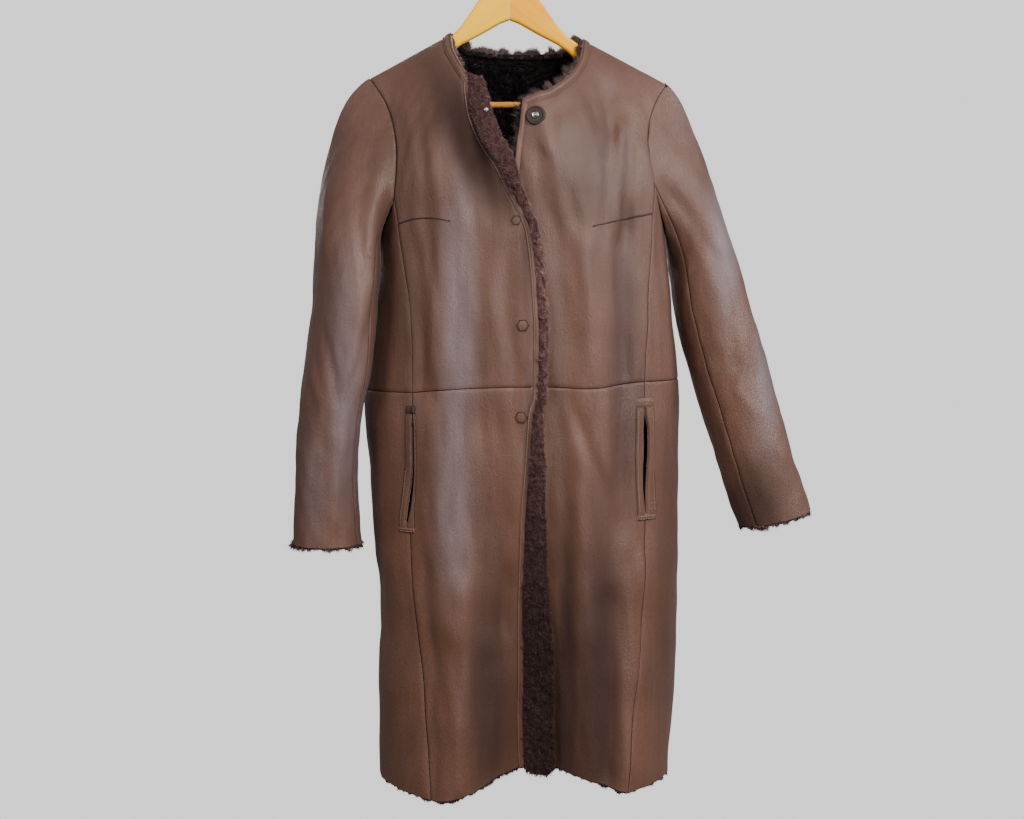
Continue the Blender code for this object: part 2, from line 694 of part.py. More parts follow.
def pocket_margin(grid, column, side):
    """Seam margin down a lower panel's side, opened to the pocket's slit."""
    margins = []
    for i in range(UPPER_CELLS, ROWS + 1):
        z = grid[i][column].z
        pocket = POCKET[side]
        inside = pocket.bottom - 0.004 < z < pocket.top + 0.004
        margins.append(SLIT if inside else SEAM)
    return margins


def row_at(grid, column, z):
    """Fractional row where a column passes a height."""
    for i in range(UPPER_CELLS, ROWS):
        high = grid[i][column].z
        low = grid[i + 1][column].z
        if low <= z <= high:
            return i + (high - z) / (high - low)
    raise ValueError("height off the grid")


def walk(grid, normals, row, column, direction, distance):
    """Point and normal at a distance from a seam column, along a fractional row."""
    i = min(int(row), ROWS - 1)
    share = row - i

    def at(j):
        return grid[i][j].lerp(grid[i + 1][j], share), normals[i][j].lerp(normals[i + 1][j], share)

    j = column
    point, normal = at(j)
    while True:
        after, normal_after = at(j + direction)
        length = (after - point).length
        if distance <= length:
            part = distance / length
            return point.lerp(after, part), normal.lerp(normal_after, part).normalized()
        distance -= length
        point, normal = after, normal_after
        j += direction


def laid_strip(name, grid, normals, column, heights, distances, material):
    """Leather laid on the panels beside a seam: distances are signed from the seam."""
    outer = []
    inward = []
    for z in heights:
        row = row_at(grid, column, z)
        line = []
        steps = []
        for distance in distances:
            direction = 1 if distance >= 0 else -1
            point, normal = walk(grid, normals, row, column, direction, abs(distance))
            line.append(point + normal * (LIFT + WELT))
            steps.append(normal * -WELT)
        outer.append(line)
        inward.append(steps)
    wall(name, outer, inward, material)


def pocket_pieces(grid, normals, side):
    column = COL_RIGHT if side == "right" else COL_LEFT
    toward_front = -1 if side == "right" else 1
    pocket = POCKET[side]
    heights = [blend(pocket.top, pocket.bottom, n / POCKET_CELLS) for n in range(POCKET_CELLS + 1)]
    near = [0.0015, 0.0015 + WELT_WIDTH / 2, 0.0015 + WELT_WIDTH]
    front = [toward_front * d for d in near]
    rear = [-toward_front * d for d in near]
    laid_strip("pocket_welt_front_" + side, grid, normals, column, heights, front, LEATHER_WELT)
    laid_strip("pocket_welt_rear_" + side, grid, normals, column, heights, rear, LEATHER_WELT)
    across = [-TAB_WIDTH, -TAB_WIDTH / 2, 0.0, TAB_WIDTH / 2, TAB_WIDTH]
    top = [pocket.top + SEAM * 2 + TAB_HEIGHT, pocket.top + SEAM * 2]
    low = [pocket.bottom - SEAM * 2, pocket.bottom - SEAM * 2 - TAB_HEIGHT]
    laid_strip("pocket_tab_top_" + side, grid, normals, column, top, across, LEATHER_WELT)
    laid_strip("pocket_tab_bottom_" + side, grid, normals, column, low, across, LEATHER_WELT)


def body_pieces(grid, normals):
    waist = UPPER_CELLS
    for side, cols, edge in (("right", (1, COL_RIGHT), "last"), ("left", (COL_LEFT, COL_END - 1), "first")):
        column = COL_RIGHT if side == "right" else COL_LEFT
        slit = {edge: pocket_margin(grid, column, side)}
        piece_of("front_upper_" + side, grid, normals, (0, waist), cols, SKIN, LEATHER)
        piece_of("front_lower_" + side, grid, normals, (waist, ROWS), cols, SKIN, LEATHER, **slit)
    for side, cols, edge in (("right", (COL_RIGHT, COL_BACK), "first"),
                             ("left", (COL_BACK_END, COL_LEFT), "last")):
        column = COL_RIGHT if side == "right" else COL_LEFT
        slit = {edge: pocket_margin(grid, column, side)}
        piece_of("side_upper_" + side, grid, normals, (ARMHOLE_CELLS, waist), cols, SKIN, LEATHER)
        piece_of("side_lower_" + side, grid, normals, (waist, ROWS), cols, SKIN, LEATHER, **slit)
    back = (COL_BACK, COL_BACK_END)
    piece_of("back_upper", grid, normals, (0, waist), back, SKIN, LEATHER)
    piece_of("back_lower", grid, normals, (waist, ROWS), back, SKIN, LEATHER)
    for side, cols in (("right", (0, 1)), ("left", (COL_END - 1, COL_END))):
        piece_of("neck_band_" + side, grid, normals, (0, NECK_CELLS), cols, BINDING, LEATHER_BAND)
        piece_of("front_band_" + side, grid, normals, (NECK_CELLS, ROWS), cols, BINDING, LEATHER_BAND)


def back_neck_lines(grid, normals):
    """The back neck's seam line, and the free edge of its binding above it."""
    first = COL_BACK + SHOULDER_CELLS
    last = COL_BACK_END - SHOULDER_CELLS
    low = [grid[0][j] for j in range(first, last + 1)]
    facing = [normals[0][j] for j in range(first, last + 1)]
    high = []
    for n, point in enumerate(low):
        if n == 0:
            high.append(grid[0][0])
        elif n == len(low) - 1:
            high.append(grid[0][COL_END])
        else:
            lean = (BACK_NECK_MIDDLE - point.x) * 4
            high.append(point + Vector((lean, -0.25, 1.0)).normalized() * BACK_BAND_WIDTH)
    return high, low, facing


def neck_pieces(grid, normals):
    high, low, facing = back_neck_lines(grid, normals)
    inward = [n * -BINDING for n in facing]
    wall("neck_band_back", trimmed([high, low], {}), [inward, inward], LEATHER_BAND)
    # fur standing above the binding, in front and behind, clear of the hanger's arms
    inner = range(1, len(high) - 1)
    rise = Vector((0, -0.002, 1.0)) * NECK_FUR_REACH
    base = [high[n] + facing[n] * -0.0005 + Vector((0, 0, SEAM * 2)) for n in inner]
    tips = [p + rise for p in base]
    steps = [facing[n] * -NECK_FUR_THICK for n in inner]
    wall("fur_neck_back", [tips, base], [steps, steps], FUR)
    for side, edge, seam in (("right", 0, 1), ("left", COL_END, COL_END - 1)):
        base = []
        tips = []
        steps = []
        for i in range(1, NECK_CELLS):
            away = (grid[i][edge] - grid[i][seam]).normalized()
            base.append(grid[i][edge] + away * SEAM * 2)
            tips.append(base[-1] + away * NECK_FUR_REACH)
            steps.append(normals[i][edge] * -NECK_FUR_THICK)
        wall("fur_neck_" + side, [tips, base], [steps, steps], FUR)


def front_fringes(grid, normals):
    """Fur along the free edges of the two fronts."""
    outer = []
    steps = []
    bottom = grid[ROWS][0].z
    for i in range(NECK_CELLS, ROWS + 2):
        if i <= ROWS:
            edge = grid[i][0]
        else:
            edge = grid[ROWS][0] + Vector((0, 0, -FRINGE_DROP))
        width = read(RIGHT_FRINGE, "z", "width", max(edge.z, bottom))
        line = []
        inward = []
        for n in range(FRINGE_CELLS + 1):
            share = n / FRINGE_CELLS
            x = edge.x + 0.0006 + width * share
            bulge = FRINGE_OUT * math.sin(math.pi * blend(0.15, 0.85, share))
            y = front_y(x, max(edge.z, bottom)) - bulge
            line.append(Vector((x, y, edge.z + 0.012 * share * (i == NECK_CELLS))))
            inward.append(Vector((0, FRINGE_THICK, 0)))
        outer.append(line)
        steps.append(inward)
    wall("fur_front_right", outer, steps, FUR)
    outer = []
    steps = []
    for i in range(NECK_CELLS, LEFT_FRINGE_END + 1):
        edge = grid[i][COL_END]
        away = (edge - grid[i][COL_END - 1]).normalized()
        start = edge + away * SEAM * 2
        outer.append([start, start + away * LEFT_FRINGE_REACH])
        steps.append([normals[i][COL_END] * -BINDING] * 2)
    wall("fur_front_left", outer, steps, FUR)


def hem_fur(grid, normals):
    """Fur just below the hem, in one strip from front edge to front edge."""
    columns = range(1, COL_END)
    base = []
    tips = []
    steps = []
    for j in columns:
        down = (grid[ROWS][j] - grid[ROWS - 1][j]).normalized()
        inward = normals[ROWS][j] * -1
        start = grid[ROWS][j] + down * SEAM * 2 + inward * 0.0008
        base.append(start)
        tips.append(start + down * HEM_FUR_REACH)
        steps.append(inward * (SKIN - 0.0012))
    wall("fur_hem", [base, tips], [steps, steps], FUR)


# ---- sleeves ----
def section_ring(section, side, angles):
    """Points round one section of a sleeve; angle 0 is outermost, 90 is in front."""
    out = Vector((SIGN[side] * math.cos(math.radians(section.lean)), 0,
                  math.sin(math.radians(section.lean))))
    centre = Vector((section.x, section.y, section.z))
    # twist makes the section longer towards one corner; it is worked as a shear in y
    points = []
    for angle in angles:
        turn = math.radians(angle)
        across = section.half_width * math.cos(turn)
        shear = math.tan(math.radians(section.twist)) * across
        if side == "left":
            shear = -shear
        ahead = section.half_depth * math.sin(turn) - shear
        points.append(centre + out * across + Vector((0, -ahead, 0)))
    return points


def sleeve_grid(grid, side):
    """Rows from the armhole to the cuff, columns round the sleeve from its top."""
    loop = [grid[i][j] for i, j in armhole_loop(side)]
    angles = []
    for n in range(ARMHOLE_CELLS):
        angles.append(FRONT_SEAM_ANGLE[side] * n / ARMHOLE_CELLS)
    for n in range(SIDE_CELLS):
        angles.append(blend(FRONT_SEAM_ANGLE[side], BACK_SEAM_ANGLE[side], n / SIDE_CELLS))
    for n in range(ARMHOLE_CELLS + 1):
        angles.append(blend(BACK_SEAM_ANGLE[side], 360, n / ARMHOLE_CELLS))
    sections = SLEEVE[side]
    first = section_ring(sections[0], side, angles)
    second = section_ring(sections[1], side, angles)
    rows = []
    for i in range(CAP_CELLS):
        t = i / CAP_CELLS
        line = []
        for n, angle in enumerate(angles):
            height = (1 + math.cos(math.radians(angle))) / 2
            leave = Vector((SIGN[side] * blend(CAP_UNDER[side][0], CAP_TOP[side][0], height), 0,
                            blend(CAP_UNDER[side][1], CAP_TOP[side][1], height)))
            span = (first[n] - loop[n]).length
            arrive = (second[n] - first[n]).normalized() * span
            point = (loop[n] * (2 * t ** 3 - 3 * t ** 2 + 1) + leave * (t ** 3 - 2 * t ** 2 + t)
                     + first[n] * (3 * t ** 2 - 2 * t ** 3) + arrive * (t ** 3 - t ** 2))
            line.append(point)
        rows.append(line)
    tube = SLEEVE_CELLS - CAP_CELLS
    Place = namedtuple("Place", "t x y z half_width half_depth lean twist")
    placed = [Place(n, *section) for n, section in enumerate(sections)]
    for i in range(tube + 1):
        t = (len(sections) - 1) * i / tube
        values = [read(placed, "t", name, t) for name in Section._fields]
        rows.append(section_ring(Section(*values), side, angles))
    return rows


def sleeve_normals(rows, body_normals, side):
    result = []
    count = len(rows[0]) - 1
    for i, line in enumerate(rows):
        normals = []
        for j in range(count + 1):
            if i == 0:
                a, b = armhole_loop(side)[j]
                normals.append(body_normals[a][b])
                continue
            around = line[(j + 1) % count] - line[(j - 1) % count]
            down = rows[min(i + 1, len(rows) - 1)][j] - rows[i - 1][j]
            normal = around.cross(down).normalized()
            normals.append(normal if side == "left" else -normal)
        result.append(normals)
    return result


def sleeve_pieces(grid, body_normals, side):
    rows = sleeve_grid(grid, side)
    normals = sleeve_normals(rows, body_normals, side)
    count = len(rows[0]) - 1
    front = ARMHOLE_CELLS
    back = ARMHOLE_CELLS + SIDE_CELLS
    upper = [n % count for n in range(back, count + front + 1)]
    under = list(range(front, back + 1))
    for name, columns in (("sleeve_upper_", upper), ("sleeve_under_", under)):
        outer = [[line[j] for j in columns] for line in rows]
        inward = [[line[j] * -SKIN for j in columns] for line in normals]
        wall(name + side, trimmed(outer, {}), inward, LEATHER)
    base = []
    tips = []
    steps = []
    for j in range(count + 1):
        j = j % count
        down = (rows[-1][j] - rows[-2][j]).normalized()
        start = rows[-1][j] + down * SEAM * 2 - normals[-1][j] * 0.0008
        base.append(start)
        tips.append(start + down * CUFF_FUR_REACH)
        steps.append(normals[-1][j] * -(SKIN - 0.0012))
    wall("fur_cuff_" + side, [base, tips], [steps, steps], FUR, closed=True)


# ---- fastenings ----
def surface_spot(x, z, surface):
    """Point on a front and its outward direction."""
    near = 0.003
    point = Vector((x, surface(x, z), z))
    across = Vector((2 * near, surface(x + near, z) - surface(x - near, z), 0))
    down = Vector((0, surface(x, z - near) - surface(x, z + near), -2 * near))
    return point, down.cross(across).normalized()


def disc(name, mark, surface, lift, radius, thickness, material, hole=0.0):
    point, normal = surface_spot(mark.x, mark.z, surface)
    bm = bmesh.new()
    bmesh.ops.create_cone(bm, cap_ends=True, segments=20, radius1=radius, radius2=radius * 0.94,
                          depth=thickness)
    if hole:
        caps = [f for f in bm.faces if len(f.verts) > 4]
        inner = bmesh.ops.inset_individual(bm, faces=caps, thickness=radius - hole, depth=0)
        rims = caps
        edges = [e for f in rims for e in f.edges]
        bmesh.ops.delete(bm, geom=rims, context="FACES_ONLY")
        bmesh.ops.bridge_loops(bm, edges=edges)
    bmesh.ops.triangulate(bm, faces=bm.faces[:])
    bmesh.ops.recalc_face_normals(bm, faces=bm.faces[:])
    mesh = bpy.data.meshes.new(name)
    bm.to_mesh(mesh)
    bm.free()
    piece = finish(name, mesh, material)
    piece.location = point + normal * (lift + thickness / 2)
    piece.rotation_mode = "QUATERNION"
    piece.rotation_quaternion = normal.to_track_quat("Z", "Y")
    return piece


def fastenings():
    disc("neck_snap_ring", NECK_SNAP, lapped_y, 0.0005, NECK_SNAP_RADIUS, NECK_SNAP_THICK,
         SNAP_DARK, hole=NECK_SNAP_HOLE)
    disc("neck_snap_centre", NECK_SNAP, lapped_y, 0.0005, NECK_SNAP_CENTRE_RADIUS, 0.0042, METAL)
    for n, mark in enumerate(SNAP_MARKS, start=1):
        disc("snap_patch_" + str(n), mark, front_y, 0.0006, SNAP_MARK_RADIUS, SNAP_MARK_THICK, LEATHER)
    disc("neck_socket", SOCKET, front_y, FRINGE_OUT + 0.0005, SOCKET_RADIUS, SOCKET_THICK, METAL)


# ---- hanger ----
def arm_outline(side):
    """Outline of one arm in the front view: along its top, then back along its foot."""
    top = []
    low = []
    for row in ARM_ROOT:
        top.append((row.x, row.top))
        low.append((row.x, row.bottom))
    neck, tip = SHOULDER[side]
    slope = (tip.z - neck.z) / abs(tip.x - neck.x)
    for x in ARM_OUT[side]:
        height = neck.z + (x - abs(neck.x)) * slope - ARM_UNDER[side]
        top.append((x, height))
        if x < ARM_FOOT_IN - 0.01:
            low.append((x, height - ARM_HEIGHT))
    end = neck.z + (ARM_TIP - abs(neck.x)) * slope - ARM_UNDER[side]
    corner = [(ARM_TIP, end - 0.004), (ARM_TIP + 0.002, end - 0.016), (ARM_TIP, ARM_FOOT),
              (ARM_FOOT_IN + 0.008, ARM_FOOT), (ARM_FOOT_IN, ARM_FOOT + 0.006),
              (ARM_FOOT_IN, BAR_HEIGHT + 0.010), (ARM_FOOT_IN - 0.008, BAR_HEIGHT + 0.022)]
    return [(SIGN[side] * x, z) for x, z in top + corner + low[::-1]]


def hanger_arm(side):
    outline = arm_outline(side)
    if side == "right":
        outline = outline[::-1]
    bm = bmesh.new()
    verts = [bm.verts.new((x, ARM_THICK / 2, z)) for x, z in outline]
    face = bm.faces.new(verts)
    result = bmesh.ops.extrude_face_region(bm, geom=[face])
    moved = [g for g in result["geom"] if isinstance(g, bmesh.types.BMVert)]
    bmesh.ops.translate(bm, vec=(0, -ARM_THICK, 0), verts=moved)
    long_edges = [e for e in bm.edges if abs(e.verts[0].co.y - e.verts[1].co.y) < 1e-6
                  and max(abs(v.co.x) for v in e.verts) > 0.001]
    bmesh.ops.bevel(bm, geom=long_edges, offset=ARM_BEVEL, segments=2, profile=0.5,
                    affect="EDGES", material=-1)
    bmesh.ops.triangulate(bm, faces=bm.faces[:])
    bmesh.ops.recalc_face_normals(bm, faces=bm.faces[:])
    mesh = bpy.data.meshes.new("hanger_arm_" + side)
    bm.to_mesh(mesh)
    bm.free()
    finish("hanger_arm_" + side, mesh, WOOD)


def tube(name, points, radius, material, sides):
    line = bpy.data.curves.new(name, "CURVE")
    line.dimensions = "3D"
    line.bevel_depth = radius
    line.bevel_resolution = sides
    line.use_fill_caps = True
    line.resolution_u = 1
    line.render_resolution_u = 0
    spline = line.splines.new("POLY")
    spline.points.add(len(points) - 1)
    for spot, point in zip(spline.points, points):
        spot.co = (*point, 1.0)
    line.materials.append(material)
    piece = bpy.data.objects.new(name, line)
    coat.objects.link(piece)
    return piece


def hanger():
    for side in ("right", "left"):
        hanger_arm(side)
    reach = ARM_FOOT_IN - 0.0003
    tube("hanger_bar", [(-reach, 0, BAR_HEIGHT), (reach, 0, BAR_HEIGHT)], BAR_RADIUS, WOOD_BAR, 3)
    radius = HOOK_INSIDE + HOOK_WIRE
    points = [(0, 0, ARM_ROOT[0].top + 0.0004), (0, 0, -0.066)]
    for n in range(17):
        angle = math.radians(blend(-78, HOOK_END_ANGLE, n / 16))
        points.append((radius * math.cos(angle), 0, -HOOK_INSIDE + radius * math.sin(angle)))
    tube("hanger_hook", points, HOOK_WIRE, METAL, 2)


for old in list(bpy.data.objects):
    bpy.data.objects.remove(old, do_unlink=True)

coat = bpy.data.collections.new("shearling_coat")
bpy.context.scene.collection.children.link(coat)

LEATHER = colour("leather", (0.19, 0.10, 0.075), 0.55)
LEATHER_BAND = colour("leather_binding", (0.17, 0.09, 0.070), 0.55)
LEATHER_WELT = colour("leather_welt", (0.22, 0.12, 0.085), 0.55)
FUR = colour("fur", (0.045, 0.028, 0.030), 0.95)
WOOD = colour("hanger_wood", (0.78, 0.50, 0.18), 0.40)
WOOD_BAR = colour("hanger_bar_wood", (0.66, 0.32, 0.10), 0.40)
METAL = colour("metal", (0.75, 0.72, 0.72), 0.25, 1.0)
SNAP_DARK = colour("snap_dark", (0.05, 0.03, 0.028), 0.35)

body = body_grid()
facing = grid_normals(body)
shoulder_normals(facing)
for wearer_side in ("right", "left"):
    armhole_normals(body, facing, wearer_side)
body_pieces(body, facing)
neck_pieces(body, facing)
front_fringes(body, facing)
hem_fur(body, facing)
for wearer_side in ("right", "left"):
    pocket_pieces(body, facing, wearer_side)
    sleeve_pieces(body, facing, wearer_side)
fastenings()
hanger()
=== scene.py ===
# %% [markdown]
# # A knee-length shearling coat on a wooden hanger
# Shearling is sheepskin with its wool left on. The leather side is out and the clipped fur is
# inside, so the fur shows only where an edge is open: the neck, the front, the cuffs and the
# hem. We load the measured model first. It fixes where everything is; this script gives it
# its looks. Sizes are in metres, +Z is up, and the coat faces -Y. Right and left are the
# wearer's, so right is -X.

# %% Load the measured model
import math

import bmesh
import bpy
import numpy as np
from mathutils import Matrix, Vector


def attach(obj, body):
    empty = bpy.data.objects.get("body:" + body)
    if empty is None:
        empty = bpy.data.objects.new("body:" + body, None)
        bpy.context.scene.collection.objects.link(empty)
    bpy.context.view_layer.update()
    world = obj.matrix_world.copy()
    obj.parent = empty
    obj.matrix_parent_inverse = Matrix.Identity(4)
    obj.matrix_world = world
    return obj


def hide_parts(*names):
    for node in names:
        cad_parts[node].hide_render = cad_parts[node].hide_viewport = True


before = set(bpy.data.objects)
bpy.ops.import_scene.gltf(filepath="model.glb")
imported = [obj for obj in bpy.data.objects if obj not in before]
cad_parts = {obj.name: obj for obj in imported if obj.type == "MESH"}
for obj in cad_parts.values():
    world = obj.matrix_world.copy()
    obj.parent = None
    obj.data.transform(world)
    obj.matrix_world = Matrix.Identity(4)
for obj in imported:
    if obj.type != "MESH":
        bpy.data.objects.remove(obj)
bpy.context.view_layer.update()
print("measured model:", len(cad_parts), "solids")

# %% [markdown]
# ## The coat's measures
# A pattern cutter works from a sheet of measures in millimetres. These tables are ours: the
# outline of the body at each height, the seams as points in the front view (x, z), and the
# sleeves as sections. Everything that is cut or sewn below is found from them, so a seam on
# one piece always meets the same seam on its neighbour.

# %% Measures of the body
SIGN = {"right": -1, "left": 1}


def metres(table):
    """A table written in millimetres, as an array in metres."""
    return np.array(table, float) / 1000


def both(right, left):
    return {"right": metres(right), "left": metres(left)}


# z, x of the right side, x of the left side, depth in front, depth behind
BODY = metres((
    (-160, -190, 214, 112, 98), (-300, -190, 214, 114, 100), (-440, -174, 208, 118, 100),
    (-540, -182, 217, 120, 98), (-620, -192, 226, 120, 96), (-680, -196, 230, 121, 96),
    (-760, -190, 228, 123, 97), (-865, -184, 230, 126, 98), (-905, -177, 230, 128, 99),
    (-960, -176, 229, 129, 100), (-1050, -179, 226, 132, 102), (-1180, -179, 218, 137, 104)))
ROUND = 2.3  # 2 is an ellipse, more is boxier
FRONT_SLOPE, BACK_SLOPE, SLOPE_POWER = 0.20, 0.16, 0.78
# neck point and shoulder tip
SHOULDER = both(((-89.5, -183), (-185, -234)), ((107.3, -189), (209.6, -242)))
SHOULDER_PEAK = -0.168

# %% Measures of the seams and edges
NECK_SEAM = both(
    ((-89.5, -183), (-85.6, -203), (-77.1, -219), (-69, -234), (-60, -247)),
    ((107.3, -189), (101.3, -215), (89.7, -237), (72.9, -254.5), (52.7, -268), (23.5, -278)))
NECK_EDGE = both(
    ((-77, -173.5), (-73.5, -197), (-66.5, -214), (-58, -229), (-51.5, -240)),
    ((97.5, -181.5), (92.5, -211), (81.5, -231), (67, -246), (48, -258.5), (16, -269.5)))
FRONT_EDGE = both(
    ((-51.5, -240), (-48.1, -282), (-41.4, -305), (-28.9, -331), (-13.2, -354), (-2.8, -375),
     (19, -417), (27, -438), (34.5, -499), (38.2, -577), (38.5, -645), (31.5, -670), (27, -736),
     (21.4, -803), (19.3, -910), (19, -1050), (21.8, -1190)),
    ((16, -269.5), (12.4, -297), (9.5, -323), (6.4, -349), (-2, -440), (-8, -640), (-12, -900),
     (-12, -1190)))
ARMHOLE = both(
    ((-185, -234), (-162.5, -268), (-151, -300), (-146, -329), (-145.5, -356), (-148, -395)),
    ((209.6, -242), (196.9, -259.7), (186.4, -280.7), (181.3, -307.7), (180.1, -331.4),
     (186.3, -374)))
PRINCESS = both(
    ((-148, -395), (-142.4, -434), (-136.8, -473), (-129.4, -524), (-125, -591), (-125, -645),
     (-124.8, -733), (-129, -825), (-128, -880), (-121, -950), (-112, -1043), (-101, -1190)),
    ((186.3, -374), (184.6, -420), (181.8, -478), (178.6, -546), (175.8, -620), (175.8, -733),
     (178.5, -813), (174.8, -882), (168.7, -974), (161, -1049), (153, -1190)))
WAIST = metres((
    (-200, -651.5), (-130, -645), (-42, -637), (34, -635.5), (100, -638), (176, -631),
    (232, -634.5)))
HEM = metres((
    (-180, -1166), (-100, -1172), (-45, -1164), (30, -1148), (100, -1152), (155, -1163),
    (220, -1166)))
BACK_NECK = metres((
    (-89.5, -183), (-85, -193.5), (-60, -202.5), (10, -208), (78, -205.5), (103.5, -198.5),
    (107.3, -189)))
BACK_HEM = -1.166
BAND_WIDTH, BACK_BAND_WIDTH = 0.0075, 0.0090
UNDERARM_DROP = both(45, 62)
BACK_SEAM_IN, UNDERARM_IN = 0.030, 0.3  # the back seam stands in, less at the arm
WAIST_Z, EDGE_FOOT_Z, SEAM_FOOT_Z = -0.64, -1.16, -1.165
print("seam tables:", len(FRONT_EDGE["right"]), "points down the right front edge")

# %% [markdown]
# ## Reading a table smoothly
# A seam drawn through straight rules would have corners. `smooth` turns a short table into a
# curve that never overshoots its own numbers, and `along` walks a curve by its length, so
# that points come evenly spaced. Both take whole arrays, which keeps thousands of points fast.


# %% Smooth tables
def hermite(t, start, leave, stop, arrive):
    """From start to stop, leaving and arriving along two given arrows."""
    return (start * (2 * t ** 3 - 3 * t ** 2 + 1) + leave * (t ** 3 - 2 * t ** 2 + t)
            + stop * (3 * t ** 2 - 2 * t ** 3) + arrive * (t ** 3 - t ** 2))


def smooth(keys, values, fine=16):
    """A curve through a table, as a function of an array. Keys rise or fall."""
    keys, values = np.array(keys, float), np.array(values, float)
    if keys[0] > keys[-1]:
        keys, values = keys[::-1], values[::-1]
    steps = np.diff(values) / np.diff(keys)
    before = np.concatenate([steps[:1], steps])
    after = np.concatenate([steps, steps[-1:]])
    same = before * after > 0
    slope = np.where(same, 2 * before * after / np.where(same, before + after, 1), 0)
    t = np.arange(fine) / fine
    width = np.diff(keys)[:, None]
    dense = hermite(t, values[:-1, None], width * slope[:-1, None],
                    values[1:, None], width * slope[1:, None])
    places = np.append((keys[:-1, None] + t * width).ravel(), keys[-1])
    dense = np.append(dense.ravel(), values[-1])
    return lambda at: np.interp(at, places, dense)


def along(points, shares, fine=12):
    """Points on a smooth curve through a table, at shares of its length."""
    p = np.array(points, float)
    a, b = np.vstack([p[:1], p[:-2]]), p[:-1]
    c, d = p[1:], np.vstack([p[2:], p[-1:]])
    t = (np.arange(fine) / fine)[None, :, None]
    a, b, c, d = (q[:, None, :] for q in (a, b, c, d))
    dense = b + 0.5 * t * (c - a + t * (2 * a - 5 * b + 4 * c - d + t * (3 * (b - c) + d - a)))
    dense = np.vstack([dense.reshape(-1, p.shape[1]), p[-1:]])
    gone = np.append(0, np.cumsum(np.linalg.norm(np.diff(dense, axis=0), axis=1)))
    at = np.asarray(shares) * gone[-1]
    return np.stack([np.interp(at, gone, dense[:, k]) for k in range(p.shape[1])], axis=-1)


def smoothstep(value):
    value = np.clip(value, 0.0, 1.0)
    return value * value * (3 - 2 * value)


def mix(low, high, share):
    return low + (high - low) * share


def part_way(at, start, stop):
    """0 at start, 1 at stop, and held there beyond them."""
    return np.clip((at - start) / (stop - start), 0, 1)


side_right, side_left, depth_front, depth_back = (smooth(BODY[:, 0], way) for way in BODY.T[1:])
edge_x, princess_x = ({s: smooth(*line[s].T[::-1]) for s in SIGN}
                      for line in (FRONT_EDGE, PRINCESS))
waist_z, hem_z = smooth(*WAIST.T), smooth(*HEM.T)
print("waist seam at centre front:", round(float(waist_z(0.02)), 4))

# %% [markdown]
# ## The form of the body
# The body is an oval tube that slopes in to the shoulder line at the top. A fold is a place
# where that surface rises or sinks along a line. Leather this thick folds in few, long, soft
# rolls, and they start at a point of strain (the shoulder, the bust, the waist seam) and grow
# downward. The first table holds the large folds that give the hem its lobes.

# %% Large folds and the lap of the fronts
# x and z of the top, x and z of the foot, rise at the top, rise at the foot, width
FRONT_FOLDS = metres((
    (30, -740, 30, -1180, 0, -70, 55), (-70, -740, -92, -1180, 0, 20, 36),
    (140, -740, 155, -1180, 0, 22, 34), (-35, -330, -40, -640, 3, 5, 26),
    (-105, -420, -108, -640, -4, -7, 18), (128, -270, 146, -420, -10, -4, 16),
    (150, -440, 140, -640, -6, -4, 18)))
BACK_FOLDS = metres((
    (12, -300, 12, -1180, 0, 20, 60), (-75, -640, -90, -1180, 0, -18, 30),
    (100, -640, 115, -1180, 0, -18, 30)))
FOLD_FADE = 0.05
LAP_DEPTH, LAP_DEPTH_HEM, LAP_FADE, LAP_BEYOND = 0.0080, 0.0135, 0.030, 0.020
# z, width of the fur rolled out along the right front
FRINGE = metres((
    (-240, 18), (-285, 25), (-335, 26), (-375, 16), (-420, 10.5), (-576, 10.5), (-640, 8.5),
    (-720, 17), (-800, 24.5), (-905, 32), (-1020, 39.5), (-1190, 40.5)))
fringe_width = smooth(*FRINGE.T)


def slope_share(x, z, reach):
    heights = [n[1] + (x - n[0]) * (t[1] - n[1]) / (t[0] - n[0]) for n, t in SHOULDER.values()]
    ridge = np.minimum(np.minimum(*heights), SHOULDER_PEAK)
    share = np.clip((ridge - z) / reach, 0, 1)
    return np.sin(np.pi / 2 * share) ** SLOPE_POWER


def girth(z):
    """The middle of the body at a height, and half its width."""
    return (side_right(z) + side_left(z)) / 2, (side_left(z) - side_right(z)) / 2


def off_middle(x, z):
    """How far out a point is: 0 in the middle, nearly 1 at the side."""
    middle, half = girth(z)
    return np.minimum(np.abs(x - middle) / half, 0.9995)


def plan_share(x, z):
    return (1 - off_middle(x, z) ** ROUND) ** (1 / ROUND)


def fold_rise(folds, x, z):
    total = 0.0
    for x_top, z_top, x_foot, z_foot, rise_top, rise_foot, width in folds:
        share = part_way(z, z_top, z_foot)
        fade = smoothstep((z_top + FOLD_FADE - z) / FOLD_FADE)
        if z_foot > -1.1:  # the others run on to the hem
            fade = fade * smoothstep((z - z_foot + FOLD_FADE) / FOLD_FADE)
        line = np.exp(-((x - mix(x_top, x_foot, share)) / width) ** 2)
        total = total + mix(rise_top, rise_foot, share ** 1.4) * fade * line
    return total


def front_y(x, z):
    depth = depth_front(z) * plan_share(x, z) * slope_share(x, z, FRONT_SLOPE)
    return -depth - fold_rise(FRONT_FOLDS, x, z) * smoothstep(plan_share(x, z) * 2.2)


def back_y(x, z):
    depth = depth_back(z) * plan_share(x, z) * slope_share(x, z, BACK_SLOPE)
    return depth + fold_rise(BACK_FOLDS, x, z)


def lapped_y(x, z):
    """The left front, pushed back where the right front lies on it."""
    level = edge_x["right"](z) + fringe_width(z) + LAP_BEYOND + LAP_FADE
    depth = mix(LAP_DEPTH, LAP_DEPTH_HEM, smoothstep((-0.75 - z) / 0.35))
    return front_y(x, z) + depth * smoothstep((level - x) / LAP_FADE)


print("depth at the chest:", round(float(back_y(0.0, -0.45) - front_y(0.0, -0.45)), 3))

